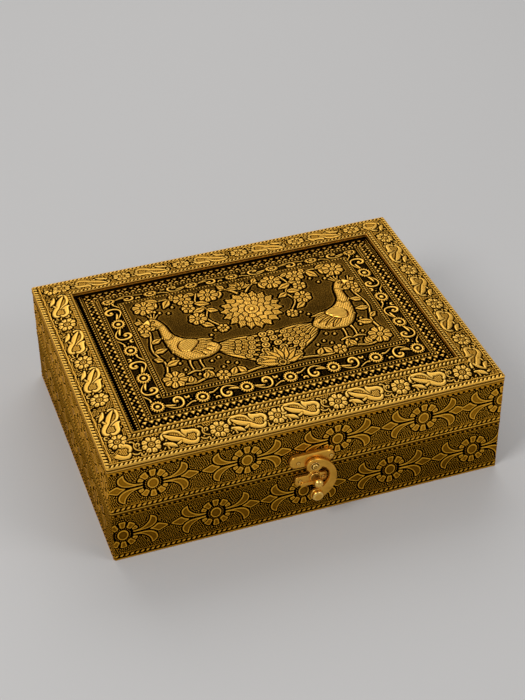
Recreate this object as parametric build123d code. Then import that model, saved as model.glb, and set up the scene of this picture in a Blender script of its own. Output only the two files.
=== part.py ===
from build123d import *
import math
import os

# A flat wooden box clad in embossed metal sheet, with a hinged lid, a swing hook and four lined cells.
# Millimetres. The origin is at the middle of the underside, X runs along the front, the front faces -Y.

# Overall size
BOX_LENGTH = 254.0
BOX_DEPTH = 193.4
BASE_TOP = 37.0
LIP_TOP = 78.0
RAIL_WIDTH = 22.6
CORNER_RADIUS = 1.5
BACK = BOX_DEPTH / 2
FRONT = -BACK

# Clearances
RIM_GAP = 0.3
MOVING_GAP = 0.3
NOTCH_GAP = 0.1
PIN_GAP = 0.06
RIVET_GAP = 0.15

# Thickness of each layer of the walls
SHEET = 1.0
BOARD = 8.0
LINING = 1.5
INNER_WALL = SHEET + BOARD
INNER_FACE = INNER_WALL + LINING

# Heights in the base, from the felt up
FELT = 0.6
SHEET_LIFT = 0.2
FLOOR_BOARD = 4.0
FLOOR_TOP = FELT + FLOOR_BOARD
FLOOR_LINING_TOP = FLOOR_TOP + LINING
RIM_FLANGE = 0.6
BASE_BOARD_TOP = BASE_TOP - RIM_FLANGE
DIVIDER = 3.0
DIVIDER_SUNK = 4.0
DIVIDER_TOP = BASE_TOP - DIVIDER_SUNK
DIVIDER_GAP = 0.2

# Heights in the lid, from the rim up
LID_BEAD = 1.6
LID_BOTTOM = BASE_TOP + RIM_GAP
LID_FLANGE_TOP = LID_BOTTOM + RIM_FLANGE
LID_BEAD_TOP = LID_BOTTOM + LID_BEAD

# Heights in the lid, from the lip of its frame down
FRAME_RISE = 4.4
FRAME_TURN = 3.6
RECESS = 3.5
PANEL_BOARD = 3.0
TOP_BOARD = 4.5
LID_EDGE_TOP = LIP_TOP - FRAME_RISE
LID_SIDE_TOP = LID_EDGE_TOP - FRAME_TURN
PANEL_TOP = LIP_TOP - RECESS
PANEL_BOARD_TOP = PANEL_TOP - SHEET
TOP_BOARD_TOP = PANEL_BOARD_TOP - PANEL_BOARD
LID_WALL_TOP = TOP_BOARD_TOP - TOP_BOARD
LID_LINING_BOTTOM = LID_WALL_TOP - LINING
EDGE_RADIUS = 1.5
LIP_RADIUS = 0.4

# Raised picture field of the panel
FIELD_CENTRE = (2.1, 5.6)
FIELD_RISE = 1.2
FIELD_MARGIN = 15.0
FIELD_SLOPE = 18.0

# Embossing of the panel: raised bands, the rosettes between them and the garden picture
EMBOSS = 0.6
PANEL_GROUND = PANEL_TOP - EMBOSS
FIELD_TOP = PANEL_GROUND + FIELD_RISE
BORDER_TOP = PANEL_TOP + 0.3
INNER_BAND_TOP = PANEL_TOP + 0.7
PICTURE_TOP = FIELD_TOP + 1.1
OUTER_BAND = (4.8, 2.1, 5.5)
OUTER_BAND_CENTRE = (2.1, 1.2)
INNER_BAND = (24.4, 22.4, 3.4)
INNER_BAND_CENTRE = FIELD_CENTRE
PICTURE_CENTRE = (2.1, 6.1)
ROSETTE_INSET = (18.9, 16.5)
ROSETTE_CENTRE = (2.1, 4.8)
ROSETTE_STEPS = (6, 4)
ROSETTE_RADIUS = 4.3
ROSETTE_SIDES = 8
BLOSSOM_SIDES = 8
MEDALLION_PLACE = (0.0, 14.0)
MEDALLION_RADIUS = 19.0
MEDALLION_HEART = 8.0
MEDALLION_SIDES = 18
BIRD_PLACE = (44.0, -10.0)
BIRD_TOP = PICTURE_TOP + 0.3
BIRD_ARCS = (
    ((-13, -6), (-5, 5), (6, 9)),
    ((6, 9), (12, 16), (14, 26)),
    ((14, 26), (17, 33), (23, 35)),
    ((23, 29), (20, 22), (19.5, 12)),
    ((19.5, 12), (18, -5), (9, -13)),
    ((9, -13), (-3, -13.5), (-13, -6)),
)
BIRD_BEAK = ((23, 35), (29, 30), (23, 29))
TAIL_FAN = (37.5, 177, 225)
TAIL_ROOT = (-6.0, -4.0)
FAN_STEPS = 5
LOTUSES = ((0.0, -44.0, 17.0), (0.0, 38.0, 8.5))
LOTUS_ANGLES = (15, 165)
BLOSSOMS = ((22.0, 38.5, 7.0), (39.0, 39.5, 6.0), (66.0, 38.5, 7.0), (68.0, -38.0, 7.5), (36.0, 16.0, 6.0))

# Hinges
HINGE_INSET = 49.0
HINGE_SPACING = BOX_LENGTH - 2 * HINGE_INSET
LEAF_LENGTH = 24.0
LEAF = 0.8
LEAF_REACH = 8.4
LEAF_HEEL = 1.2
BARREL_RADIUS = 1.9
PIN_RADIUS = 0.8
PIN_END = 0.4
BARREL_OFFSET = BARREL_RADIUS + MOVING_GAP
AXIS_Y = BACK + BARREL_OFFSET
AXIS_Z = BASE_TOP + RIM_GAP / 2
KNUCKLES = 3
KNUCKLE = (LEAF_LENGTH - (KNUCKLES - 1) * MOVING_GAP) / KNUCKLES
LID_OPENING = 100.0
STOP_SPARE = 1.0
STOP_ANGLE = (LID_OPENING + STOP_SPARE) / 2
STOP_INNER = BARREL_RADIUS + MOVING_GAP
STOP_OUTER = 4.6
STOP = 0.9

# Swing hook and its plate on the lid, with places as (x, z) and distances out from the front face
PIVOT = (-0.6, BASE_TOP + 6.2)
PLATE_SIZE = (28.9, 9.3)
PLATE_CENTRE = (-1.3, BASE_TOP + 9.3)
PLATE_LOBE = 4.8
PLATE = 3.4
PLATE_BEVEL = 0.8
HOOK = 2.2
HOOK_GAP = 0.4
HOOK_BEVEL = 0.45
HOOK_BACK = PLATE + HOOK_GAP
HOOK_FACE = HOOK_BACK + HOOK
ARM_OUTER_CENTRE = (-2.5, -11.7)
ARM_OUTER = 17.2
ARM_INNER_CENTRE = (0.6, -10.2)
ARM_INNER = 9.3
ARM_CORNER = 0.6
HUB_RADIUS = ARM_OUTER - math.hypot(*ARM_OUTER_CENTRE)
TIP_RADIUS = 4.35
KNOB_RADIUS = 3.6
KNOB = 2.3
KNOB_BEVEL = 0.9
RIVET_SHANK = 1.6
RIVET_HEAD = 2.3
RIVET_RISE = 0.9
RIVET_BEVEL = 0.6
WASHER_RADIUS = 3.1
WASHER = 0.3

# Catch plate and post on the base
CATCH_SIZE = (21.0, 7.0)
CATCH_CENTRE = (-1.3, BASE_TOP - 7.2)
CATCH_CORNER = 2.2
CATCH_LOBE = 4.2
CATCH_BEVEL = 0.6
CATCH = 2.4
PAD_SIZE = (9.4, 2.6)
PAD = 1.0
POST = (0.8, BASE_TOP - 5.5)
COLLAR_RADIUS = 3.3
COLLAR = 1.1
NECK_RADIUS = 2.2
BALL_RADIUS = 3.1
BALL_SUNK = 0.5
BALL_OUT = HOOK_FACE + BALL_RADIUS - BALL_SUNK

# Nails of the two plates, with square shanks and near-round heads sunk in dimples
TACK_HEAD = 1.3
TACK_RISE = 0.35
TACK_SHANK = 0.8
TACK_SIDES = 4
HEAD_SIDES = 12
TACK_LENGTH = 6.0
DIMPLE_RADIUS = 1.6
DIMPLE = 0.4
PLATE_TACKS = ((-10.2, BASE_TOP + 8.6), (11.0, BASE_TOP + 9.2))
CATCH_TACKS = ((-8.6, CATCH_CENTRE[1]), (6.6, CATCH_CENTRE[1]))

pieces = {}


def side_frame(side):
    """Sketch plane of one side, with x inward and y up, and the length of its run."""
    half_x = BOX_LENGTH / 2
    half_y = BOX_DEPTH / 2
    frames = {
        "front": (Plane((-half_x, -half_y, 0), (0, 1, 0), (1, 0, 0)), BOX_LENGTH),
        "right": (Plane((half_x, -half_y, 0), (-1, 0, 0), (0, 1, 0)), BOX_DEPTH),
        "back": (Plane((half_x, half_y, 0), (0, -1, 0), (-1, 0, 0)), BOX_LENGTH),
        "left": (Plane((-half_x, half_y, 0), (1, 0, 0), (0, -1, 0)), BOX_DEPTH),
    }
    return frames[side]


def mitre_wedge(side):
    """Prism over the ground that one side takes between its two mitre lines."""
    plane, run = side_frame(side)
    start = plane.origin
    along = plane.z_dir
    inward = plane.x_dir
    reach = 2 * RAIL_WIDTH
    corners = [
        start,
        start + along * run,
        start + along * (run - reach) + inward * reach,
        start + along * reach + inward * reach,
    ]
    face = make_face(Polyline(*corners, close=True))
    return extrude(face, amount=2 * LIP_TOP, dir=(0, 0, 1))


def block(low, high):
    """Box between two corners."""
    size = [b - a for a, b in zip(low, high)]
    middle = [(a + b) / 2 for a, b in zip(low, high)]
    return Pos(*middle) * Box(*size)


def slab(inset, bottom, top, radius=0.0):
    """Flat plate that keeps one distance from the outer faces of the box."""
    width = BOX_LENGTH - 2 * inset
    depth = BOX_DEPTH - 2 * inset
    outline = Rectangle(width, depth)
    if radius > 0:
        outline = RectangleRounded(width, depth, radius)
    return Pos(0, 0, bottom) * extrude(outline, amount=top - bottom)


def ring(inset, inner_inset, bottom, top, radius=0.0):
    """Flat ring between two distances from the outer faces."""
    return slab(inset, bottom, top, radius) - slab(inner_inset, bottom - 1, top + 1)


def rail(side, points, rounds=()):
    """Mitred rail of one side from a section of (inward, height) points, some of them rounded."""
    plane, run = side_frame(side)
    section = make_face(Polyline(*points, close=True))
    for corner, radius in rounds:
        vertex = section.vertices().sort_by_distance(Vector(*corner))[0]
        section = fillet(vertex, radius)
    bar = extrude(plane * section, amount=run, dir=plane.z_dir)
    return bar & mitre_wedge(side) & slab(0, -1, 2 * LIP_TOP, CORNER_RADIUS)


def wall(side, inset, inner_inset, bottom, top):
    """Straight mitred wall of one side."""
    return rail(side, [(inset, bottom), (inner_inset, bottom), (inner_inset, top), (inset, top)])


def slope_height(inward, depth=0.0):
    """Height of the lid frame's sloping face at a distance inward, or of a face that lies below it."""
    slope = (LIP_TOP - LID_EDGE_TOP) / RAIL_WIDTH
    return LID_EDGE_TOP + slope * inward - depth * math.hypot(1, slope)


def frame_sheet(side):
    """Embossed sheet over the lid frame, turned down over the outer edge and into the recess."""
    inner = RAIL_WIDTH - SHEET
    points = [
        (0, LID_SIDE_TOP),
        (0, LID_EDGE_TOP),
        (RAIL_WIDTH, LIP_TOP),
        (RAIL_WIDTH, PANEL_TOP),
        (inner, PANEL_TOP),
        (inner, slope_height(inner, SHEET)),
        (SHEET, slope_height(SHEET, SHEET)),
        (SHEET, LID_SIDE_TOP),
    ]
    rounds = [((0, LID_EDGE_TOP), EDGE_RADIUS), ((RAIL_WIDTH, LIP_TOP), LIP_RADIUS)]
    return rail(side, points, rounds)


def frame_moulding(side):
    """Wooden moulding under the frame sheet."""
    inner = RAIL_WIDTH - SHEET
    points = [
        (SHEET, TOP_BOARD_TOP),
        (inner, TOP_BOARD_TOP),
        (inner, slope_height(inner, SHEET)),
        (SHEET, slope_height(SHEET, SHEET)),
    ]
    return rail(side, points)


def raised(outline, centre, top):
    """Form of the panel's embossing, from inside the sheet up to a height."""
    return Pos(*centre, PANEL_BOARD_TOP) * extrude(outline, amount=top - PANEL_BOARD_TOP, dir=(0, 0, 1))


def band(sizes, centre, top):
    """Raised rectangular band of the panel from its two insets and its width."""
    inset_x, inset_y, width = sizes
    length = BOX_LENGTH - 2 * (RAIL_WIDTH + inset_x)
    depth = BOX_DEPTH - 2 * (RAIL_WIDTH + inset_y)
    outline = Rectangle(length, depth) - Rectangle(length - 2 * width, depth - 2 * width)
    return raised(outline, centre, top)


def rosettes():
    """Rosettes along the four sides of the panel's border."""
    outline = RegularPolygon(ROSETTE_RADIUS, ROSETTE_SIDES)
    half_x = BOX_LENGTH / 2 - RAIL_WIDTH - ROSETTE_INSET[0]
    half_y = BOX_DEPTH / 2 - RAIL_WIDTH - ROSETTE_INSET[1]
    across, deep = ROSETTE_STEPS
    corners = [(-half_x, -half_y), (half_x, -half_y), (half_x, half_y), (-half_x, half_y)]
    for index, steps in enumerate((across, deep, across, deep)):
        x, y = corners[index]
        end_x, end_y = corners[(index + 1) % len(corners)]
        for step in range(steps):
            place_x = ROSETTE_CENTRE[0] + x + (end_x - x) * step / steps
            place_y = ROSETTE_CENTRE[1] + y + (end_y - y) * step / steps
            yield raised(outline, (place_x, place_y), BORDER_TOP)


def fan(reach, first, last):
    """Fan of feathers or petals between two angles, drawn from its root."""
    points = [(0, 0)]
    for step in range(FAN_STEPS):
        angle = math.radians(first + (last - first) * step / (FAN_STEPS - 1))
        points.append((reach * math.cos(angle), reach * math.sin(angle)))
    return make_face(Polyline(*points, close=True))


def bird(facing):
    """Outline of a standing peacock that faces one way, and of its tail behind it."""
    arcs = [ThreePointArc(*points) for points in BIRD_ARCS]
    body = make_face(Curve() + arcs + Polyline(*BIRD_BEAK))
    tail = Pos(*TAIL_ROOT) * fan(*TAIL_FAN)
    if facing < 0:
        body = mirror(body, Plane.YZ)
        tail = mirror(tail, Plane.YZ)
    return body, tail


def panel_sheet():
    """Embossed sheet in the recess of the lid, with a slightly raised picture field."""
    sheet = slab(RAIL_WIDTH - SHEET, PANEL_BOARD_TOP, PANEL_GROUND)
    margin = RAIL_WIDTH + FIELD_MARGIN
    foot = Rectangle(BOX_LENGTH - 2 * margin, BOX_DEPTH - 2 * margin)
    foot = Pos(*FIELD_CENTRE, PANEL_GROUND) * foot
    lean = math.degrees(math.atan2(FIELD_SLOPE, FIELD_RISE))
    forms = [extrude(foot, amount=FIELD_RISE, taper=lean)]
    forms.append(band(OUTER_BAND, OUTER_BAND_CENTRE, PANEL_TOP))
    forms.append(band(INNER_BAND, INNER_BAND_CENTRE, INNER_BAND_TOP))
    forms += rosettes()
    centre_x, centre_y = PICTURE_CENTRE
    medallion = (centre_x + MEDALLION_PLACE[0], centre_y + MEDALLION_PLACE[1])
    forms.append(raised(RegularPolygon(MEDALLION_RADIUS, MEDALLION_SIDES), medallion, PICTURE_TOP))
    forms.append(raised(RegularPolygon(MEDALLION_HEART, BLOSSOM_SIDES), medallion, BIRD_TOP))
    for x, y, reach in LOTUSES:
        forms.append(raised(fan(reach, *LOTUS_ANGLES), (centre_x + x, centre_y + y), PICTURE_TOP))
    for facing in (-1, 1):
        body, tail = bird(facing)
        place = (centre_x + facing * BIRD_PLACE[0], centre_y + BIRD_PLACE[1])
        forms += [raised(body, place, BIRD_TOP), raised(tail, place, PICTURE_TOP)]
        for x, y, radius in BLOSSOMS:
            blossom = RegularPolygon(radius, BLOSSOM_SIDES)
            forms.append(raised(blossom, (centre_x + facing * x, centre_y + y), PICTURE_TOP))
    return sheet.fuse(*forms)


def divider(length, along_x):
    """Upright divider with half of the cross joint cut from it."""
    half = length / 2
    middle = (FLOOR_LINING_TOP + DIVIDER_TOP) / 2
    slot = DIVIDER / 2 + DIVIDER_GAP
    if along_x:
        board = block((-half, -DIVIDER / 2, FLOOR_LINING_TOP), (half, DIVIDER / 2, DIVIDER_TOP))
        return board - block((-slot, -BACK, middle), (slot, BACK, DIVIDER_TOP + 1))
    board = block((-DIVIDER / 2, -half, FLOOR_LINING_TOP), (DIVIDER / 2, half, DIVIDER_TOP))
    return board - block((-BACK, -slot, FLOOR_TOP), (BACK, slot, middle))


def bar_x(x_low, x_high, radius):
    """Round bar about the hinge axis."""
    middle = (x_low + x_high) / 2
    return Pos(middle, AXIS_Y, AXIS_Z) * Rot(0, 90, 0) * Cylinder(radius, x_high - x_low)


def stop_heel(x_low, x_high, upper, inner):
    """Stop along the barrel: its radial face meets the other leaf's stop when the lid is fully open."""
    side = 1 if upper else -1
    middle = (x_low + x_high) / 2
    plate = Box(x_high - x_low, STOP_OUTER - inner, STOP)
    plate = Pos(0, (STOP_OUTER + inner) / 2, side * STOP / 2) * plate
    return Pos(middle, AXIS_Y, AXIS_Z) * Rot(side * STOP_ANGLE, 0, 0) * plate


def knuckle_span(centre, index):
    """X limits of one knuckle of the hinge at a centre."""
    start = centre - LEAF_LENGTH / 2 + index * (KNUCKLE + MOVING_GAP)
    return start, start + KNUCKLE


def hinge_leaf(centre, upper):
    """One leaf of a stop hinge: plate, every other knuckle, and its stop."""
    low = centre - LEAF_LENGTH / 2
    high = centre + LEAF_LENGTH / 2
    bottom = LID_BOTTOM if upper else BASE_TOP - LEAF
    leaf = block((low, BACK - LEAF_REACH, bottom), (high, BACK, bottom + LEAF))
    own = range(1, KNUCKLES, 2) if upper else range(0, KNUCKLES, 2)
    for index in own:
        start, end = knuckle_span(centre, index)
        leaf += block((start, BACK - LEAF_HEEL, bottom), (end, AXIS_Y, bottom + LEAF))
        leaf += bar_x(start, end, BARREL_RADIUS)
        leaf += stop_heel(start, end, upper, PIN_RADIUS)
    leaf += stop_heel(low, high, upper, STOP_INNER)
    return leaf - bar_x(low - 1, high + 1, PIN_RADIUS + PIN_GAP)


def hinge_pin(centre):
    """Plain pin through the knuckles, peened a little past each end."""
    low = centre - LEAF_LENGTH / 2 - PIN_END
    high = centre + LEAF_LENGTH / 2 + PIN_END
    return bar_x(low, high, PIN_RADIUS)


def leaf_notch(centre, bottom, top):
    """Room for a hinge leaf in the rim."""
    half = LEAF_LENGTH / 2 + NOTCH_GAP
    return block((centre - half, BACK - LEAF_REACH - NOTCH_GAP, bottom), (centre + half, BACK + 1, top))


def disc(place, radius, near, far):
    """Round disc on the front, between two distances out from the front face."""
    x, z = place
    return Pos(x, FRONT - (near + far) / 2, z) * Rot(90, 0, 0) * Cylinder(radius, far - near)


def front_plate(outline, near, far):
    """Flat plate on the front from an outline drawn in X and Z."""
    plane = Plane((0, FRONT - near, 0), (1, 0, 0), (0, -1, 0))
    return extrude(plane * outline, amount=far - near, dir=(0, -1, 0))


def bevelled(plate, bevel):
    """The same plate with its front edges bevelled."""
    return chamfer(plate.faces().sort_by(Axis.Y)[0].edges(), bevel)


def turning(place, *edges):
    """Round piece on the front, from half of its section drawn as radius and distance out."""
    x, z = place
    plane = Plane((x, FRONT, z), (1, 0, 0), (0, 0, -1))
    section = make_face(Curve() + list(edges))
    return revolve(plane * section, Axis((x, FRONT, z), (0, -1, 0)))


def nail_round(place, radius, near, far):
    """Near-round form of a nail's head between two distances out from the front face."""
    return front_plate(Pos(*place) * RegularPolygon(radius, HEAD_SIDES), near, far)


def nail_shank(place, near, far):
    """Square shank of a nail between two distances out from the front face."""
    return front_plate(Pos(*place) * RegularPolygon(TACK_SHANK, TACK_SIDES), near, far)


def nail_seat(place, thickness):
    """Hole and dimple for a nail in a plate."""
    seat = thickness - DIMPLE
    return nail_shank(place, -1, seat + 1) + nail_round(place, DIMPLE_RADIUS, seat, thickness + 1)


def tack(place, thickness):
    """Nail in its dimple, through a plate into the board."""
    seat = thickness - DIMPLE
    head = nail_round(place, TACK_HEAD, seat, seat + TACK_RISE)
    return head + nail_shank(place, seat - TACK_LENGTH, seat)


def latch_plate():
    """Plate on the lid that carries the hook: a bar with round ends and a lobe behind the hub."""
    outline = Pos(*PLATE_CENTRE) * SlotOverall(*PLATE_SIZE) + Pos(*PIVOT) * Circle(PLATE_LOBE)
    plate = front_plate(outline, 0, PLATE)
    plate = bevelled(plate, PLATE_BEVEL)
    plate -= disc(PIVOT, RIVET_SHANK, -1, PLATE + 1)
    for place in PLATE_TACKS:
        plate -= nail_seat(place, PLATE)
    return plate


def towards(start, end, distance):
    """Point at a distance from a start, in the direction of an end."""
    share = distance / math.dist(start, end)
    return tuple(a + (b - a) * share for a, b in zip(start, end))


def tip_centre():
    """Centre of the tip from the pivot, where its circle touches both edges of the arm."""
    outer_reach = ARM_OUTER - TIP_RADIUS
    inner_reach = ARM_INNER + TIP_RADIUS
    gap = math.dist(ARM_OUTER_CENTRE, ARM_INNER_CENTRE)
    along = (outer_reach**2 - inner_reach**2 + gap**2) / (2 * gap)
    aside = math.sqrt(outer_reach**2 - along**2)
    foot = towards(ARM_OUTER_CENTRE, ARM_INNER_CENTRE, along)
    step_x = (ARM_INNER_CENTRE[0] - ARM_OUTER_CENTRE[0]) * aside / gap
    step_z = (ARM_INNER_CENTRE[1] - ARM_OUTER_CENTRE[1]) * aside / gap
    return foot[0] + step_z, foot[1] - step_x


def tip_place():
    """Centre of the tip on the front."""
    x, z = tip_centre()
    return PIVOT[0] + x, PIVOT[1] + z


def hook_outline():
    """Outline of the hook about its pivot: hub, curved arm between two circles, and tip."""
    tip = tip_centre()
    far = 2 * ARM_OUTER
    outer = Pos(*ARM_OUTER_CENTRE) * Circle(ARM_OUTER)
    inner = Pos(*ARM_INNER_CENTRE) * Circle(ARM_INNER)
    limits = [
        (0, 0),
        towards(ARM_OUTER_CENTRE, (0, 0), far),
        (far, far),
        (far, -far),
        towards(ARM_OUTER_CENTRE, tip, far),
        tip,
        towards(ARM_INNER_CENTRE, tip, ARM_INNER),
        ARM_INNER_CENTRE,
    ]
    arm = (outer - inner) & make_face(Polyline(*limits, close=True))
    outline = Circle(HUB_RADIUS) + arm + Pos(*tip) * Circle(TIP_RADIUS)
    root = outline.vertices().sort_by_distance(Vector(HUB_RADIUS, 0))[0]
    return fillet(root, ARM_CORNER)


def latch_hook():
    """Swing hook in one plate with bevelled front edges."""
    hook = front_plate(Pos(*PIVOT) * hook_outline(), HOOK_BACK, HOOK_FACE)
    hook = bevelled(hook, HOOK_BEVEL)
    return hook - disc(PIVOT, RIVET_SHANK + RIVET_GAP, HOOK_BACK - 1, HOOK_FACE + 1)


def hook_knob():
    """Round finger knob on the tip of the hook."""
    knob = disc(tip_place(), KNOB_RADIUS, HOOK_FACE, HOOK_FACE + KNOB)
    return bevelled(knob, KNOB_BEVEL)


def latch_rivet():
    """Rivet that the hook turns on, set in its plate, with a spacer, a washer and a bevelled head."""
    spacer_to = PLATE + HOOK_GAP / 2
    washer_from = HOOK_FACE + HOOK_GAP / 2
    head_from = washer_from + WASHER
    head_to = head_from + RIVET_RISE
    side = Polyline(
        (0, 0),
        (RIVET_SHANK, 0),
        (RIVET_SHANK, PLATE),
        (WASHER_RADIUS, PLATE),
        (WASHER_RADIUS, spacer_to),
        (RIVET_SHANK, spacer_to),
        (RIVET_SHANK, washer_from),
        (WASHER_RADIUS, washer_from),
        (WASHER_RADIUS, head_from),
        (RIVET_HEAD, head_from),
        (RIVET_HEAD - RIVET_BEVEL, head_to),
        (0, head_to),
        close=True,
    )
    return turning(PIVOT, side)


def catch_plate():
    """Plate on the base that carries the post, with a lobe behind it and a small raised pad."""
    bar = RectangleRounded(*CATCH_SIZE, CATCH_CORNER)
    outline = Pos(*CATCH_CENTRE) * bar + Pos(*POST) * Circle(CATCH_LOBE)
    plate = front_plate(outline, 0, CATCH)
    plate = bevelled(plate, CATCH_BEVEL)
    pad_x = POST[0] - PAD_SIZE[0] / 2
    pad_z = CATCH_CENTRE[1] - CATCH_SIZE[1] / 2 + PAD_SIZE[1] / 2
    plate += front_plate(Pos(pad_x, pad_z) * Rectangle(*PAD_SIZE), 0, CATCH + PAD)
    plate -= disc(POST, NECK_RADIUS, -1, CATCH + 1)
    plate -= disc(POST, COLLAR_RADIUS, CATCH, CATCH + PAD + 1)
    for place in CATCH_TACKS:
        plate -= nail_seat(place, CATCH)
    return plate


def catch_post():
    """Post that the hook drops over: shank in its plate, collar, neck and ball in one turning."""
    collar_to = CATCH + COLLAR
    ball_from = BALL_OUT - math.sqrt(BALL_RADIUS**2 - NECK_RADIUS**2)
    side = Polyline(
        (0, BALL_OUT + BALL_RADIUS),
        (0, 0),
        (NECK_RADIUS, 0),
        (NECK_RADIUS, CATCH),
        (COLLAR_RADIUS, CATCH),
        (COLLAR_RADIUS, collar_to),
        (NECK_RADIUS, collar_to),
        (NECK_RADIUS, ball_from),
    )
    ball = ThreePointArc((NECK_RADIUS, ball_from), (BALL_RADIUS, BALL_OUT), (0, BALL_OUT + BALL_RADIUS))
    return turning(POST, side, ball)


def nailed(board, places):
    """Board with the holes of some nails in its front."""
    for place in places:
        board -= nail_shank(place, -SHEET - BOARD - 1, 1)
    return board


SIDES = ("front", "back", "left", "right")
HINGES = {"left": -HINGE_SPACING / 2, "right": HINGE_SPACING / 2}

# Base: walls, floor, cladding and linings
for side in SIDES:
    pieces[f"base_{side}_board"] = wall(side, SHEET, INNER_WALL, FELT, BASE_BOARD_TOP)
    pieces[f"base_{side}_sheet"] = wall(side, 0, SHEET, SHEET_LIFT, BASE_BOARD_TOP)
    pieces[f"base_{side}_lining"] = wall(side, INNER_WALL, INNER_FACE, FLOOR_LINING_TOP, BASE_BOARD_TOP)
pieces["base_floor_board"] = slab(INNER_WALL, FELT, FLOOR_TOP)
pieces["base_felt"] = slab(SHEET, 0, FELT)
pieces["base_rim_strip"] = ring(0, INNER_FACE, BASE_BOARD_TOP, BASE_TOP, CORNER_RADIUS)
pieces["floor_lining"] = slab(INNER_WALL, FLOOR_TOP, FLOOR_LINING_TOP)
pieces["long_divider"] = divider(BOX_LENGTH - 2 * INNER_FACE, True)
pieces["cross_divider"] = divider(BOX_DEPTH - 2 * INNER_FACE, False)

# Lid: walls, top, frame, panel, cladding and linings
for side in SIDES:
    pieces[f"lid_{side}_board"] = wall(side, SHEET, INNER_WALL, LID_FLANGE_TOP, LID_WALL_TOP)
    pieces[f"lid_{side}_sheet"] = wall(side, 0, SHEET, LID_BEAD_TOP, LID_SIDE_TOP)
    pieces[f"lid_{side}_lining"] = wall(side, INNER_WALL, INNER_FACE, LID_FLANGE_TOP, LID_LINING_BOTTOM)
    pieces[f"frame_{side}_moulding"] = frame_moulding(side)
    pieces[f"frame_{side}_sheet"] = frame_sheet(side)
pieces["lid_top_board"] = slab(SHEET, LID_WALL_TOP, TOP_BOARD_TOP)
pieces["lid_top_lining"] = slab(INNER_WALL, LID_LINING_BOTTOM, LID_WALL_TOP)
pieces["panel_board"] = slab(RAIL_WIDTH - SHEET, TOP_BOARD_TOP, PANEL_BOARD_TOP)
pieces["panel_sheet"] = panel_sheet()
lid_strip = ring(0, INNER_FACE, LID_BOTTOM, LID_FLANGE_TOP, CORNER_RADIUS)
pieces["lid_rim_strip"] = lid_strip + ring(0, SHEET, LID_BOTTOM, LID_BEAD_TOP, CORNER_RADIUS)

# Hinges, let into both rims at the back
for name, centre in HINGES.items():
    pieces[f"hinge_{name}_base_leaf"] = hinge_leaf(centre, False)
    pieces[f"hinge_{name}_lid_leaf"] = hinge_leaf(centre, True)
    pieces[f"hinge_{name}_pin"] = hinge_pin(centre)
    for node in ("base_rim_strip", "base_back_board", "base_back_sheet"):
        pieces[node] -= leaf_notch(centre, BASE_TOP - LEAF, BASE_TOP + 1)
    for node in ("lid_rim_strip", "lid_back_board"):
        pieces[node] -= leaf_notch(centre, LID_BOTTOM - 1, LID_BOTTOM + LEAF)

# Latch on the front
pieces["latch_plate"] = latch_plate()
pieces["latch_hook"] = latch_hook()
pieces["hook_knob"] = hook_knob()
pieces["latch_rivet"] = latch_rivet()
pieces["latch_tacks"] = Compound(children=[tack(place, PLATE) for place in PLATE_TACKS])
pieces["catch_plate"] = catch_plate()
pieces["catch_post"] = catch_post()
pieces["catch_tacks"] = Compound(children=[tack(place, CATCH) for place in CATCH_TACKS])
for node in ("lid_front_board", "lid_front_sheet"):
    pieces[node] = nailed(pieces[node], PLATE_TACKS)
for node in ("base_front_board", "base_front_sheet"):
    pieces[node] = nailed(pieces[node], CATCH_TACKS)

os.makedirs("parts", exist_ok=True)
for node, shape in pieces.items():
    export_step(shape, f"parts/{node}.step")
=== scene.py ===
import math

import bpy
import numpy as np
from mathutils import Matrix, Vector


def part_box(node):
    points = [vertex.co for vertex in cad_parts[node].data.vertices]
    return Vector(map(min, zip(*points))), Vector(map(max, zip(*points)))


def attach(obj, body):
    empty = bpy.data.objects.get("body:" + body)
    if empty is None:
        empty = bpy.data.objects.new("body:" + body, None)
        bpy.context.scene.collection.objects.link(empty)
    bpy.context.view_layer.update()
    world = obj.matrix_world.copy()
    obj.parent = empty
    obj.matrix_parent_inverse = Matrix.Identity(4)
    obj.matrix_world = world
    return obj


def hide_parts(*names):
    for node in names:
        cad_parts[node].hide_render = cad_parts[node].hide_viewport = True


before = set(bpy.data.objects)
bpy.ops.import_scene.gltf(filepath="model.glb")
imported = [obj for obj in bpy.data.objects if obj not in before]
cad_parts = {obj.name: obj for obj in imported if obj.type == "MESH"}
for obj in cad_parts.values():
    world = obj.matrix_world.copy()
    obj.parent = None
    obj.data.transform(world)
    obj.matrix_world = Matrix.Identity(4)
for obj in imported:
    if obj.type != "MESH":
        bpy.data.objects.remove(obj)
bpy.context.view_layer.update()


# One millimetre in the frame's unit; every other size below is in millimetres
MM = 0.001
# Spacing of the grids of the drawings, and of the meshes that are pressed from them
CELL = 0.15
STEP = 0.3
# Distance that stands for open ground, and what is kept free round each motif
OPEN = 9.0
MARGIN = 2.5
# Least divisor where a length may be zero
TINY = 1e-9


def heights(node):
    """Lowest and highest z of a CAD node."""
    return [corner.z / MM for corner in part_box(node)]


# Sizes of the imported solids
rim_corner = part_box("base_rim_strip")[1]
HALF_X = rim_corner.x / MM
HALF_Y = rim_corner.y / MM
SIDE_BOTTOM, SIDE_TOP = heights("lid_front_sheet")
BASE_BOTTOM, BASE_TOP = heights("base_front_sheet")
RIM_LOW, RIM_TOP = heights("base_rim_strip")
LID_RIM, BEAD_TOP = heights("lid_rim_strip")
LIP_TOP = heights("frame_front_sheet")[1]
EDGE_TOP = LIP_TOP - 4.4
PANEL_TOP = LIP_TOP - 3.5
RAIL = 22.6
CORNER = 1.5
INNER_FACE = HALF_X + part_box("base_left_lining")[1].x / MM
FLOOR_LOW, FLOOR_TOP = heights("floor_lining")
CEILING_TOP = heights("lid_top_lining")[1]
LINING = FLOOR_TOP - FLOOR_LOW

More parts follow.
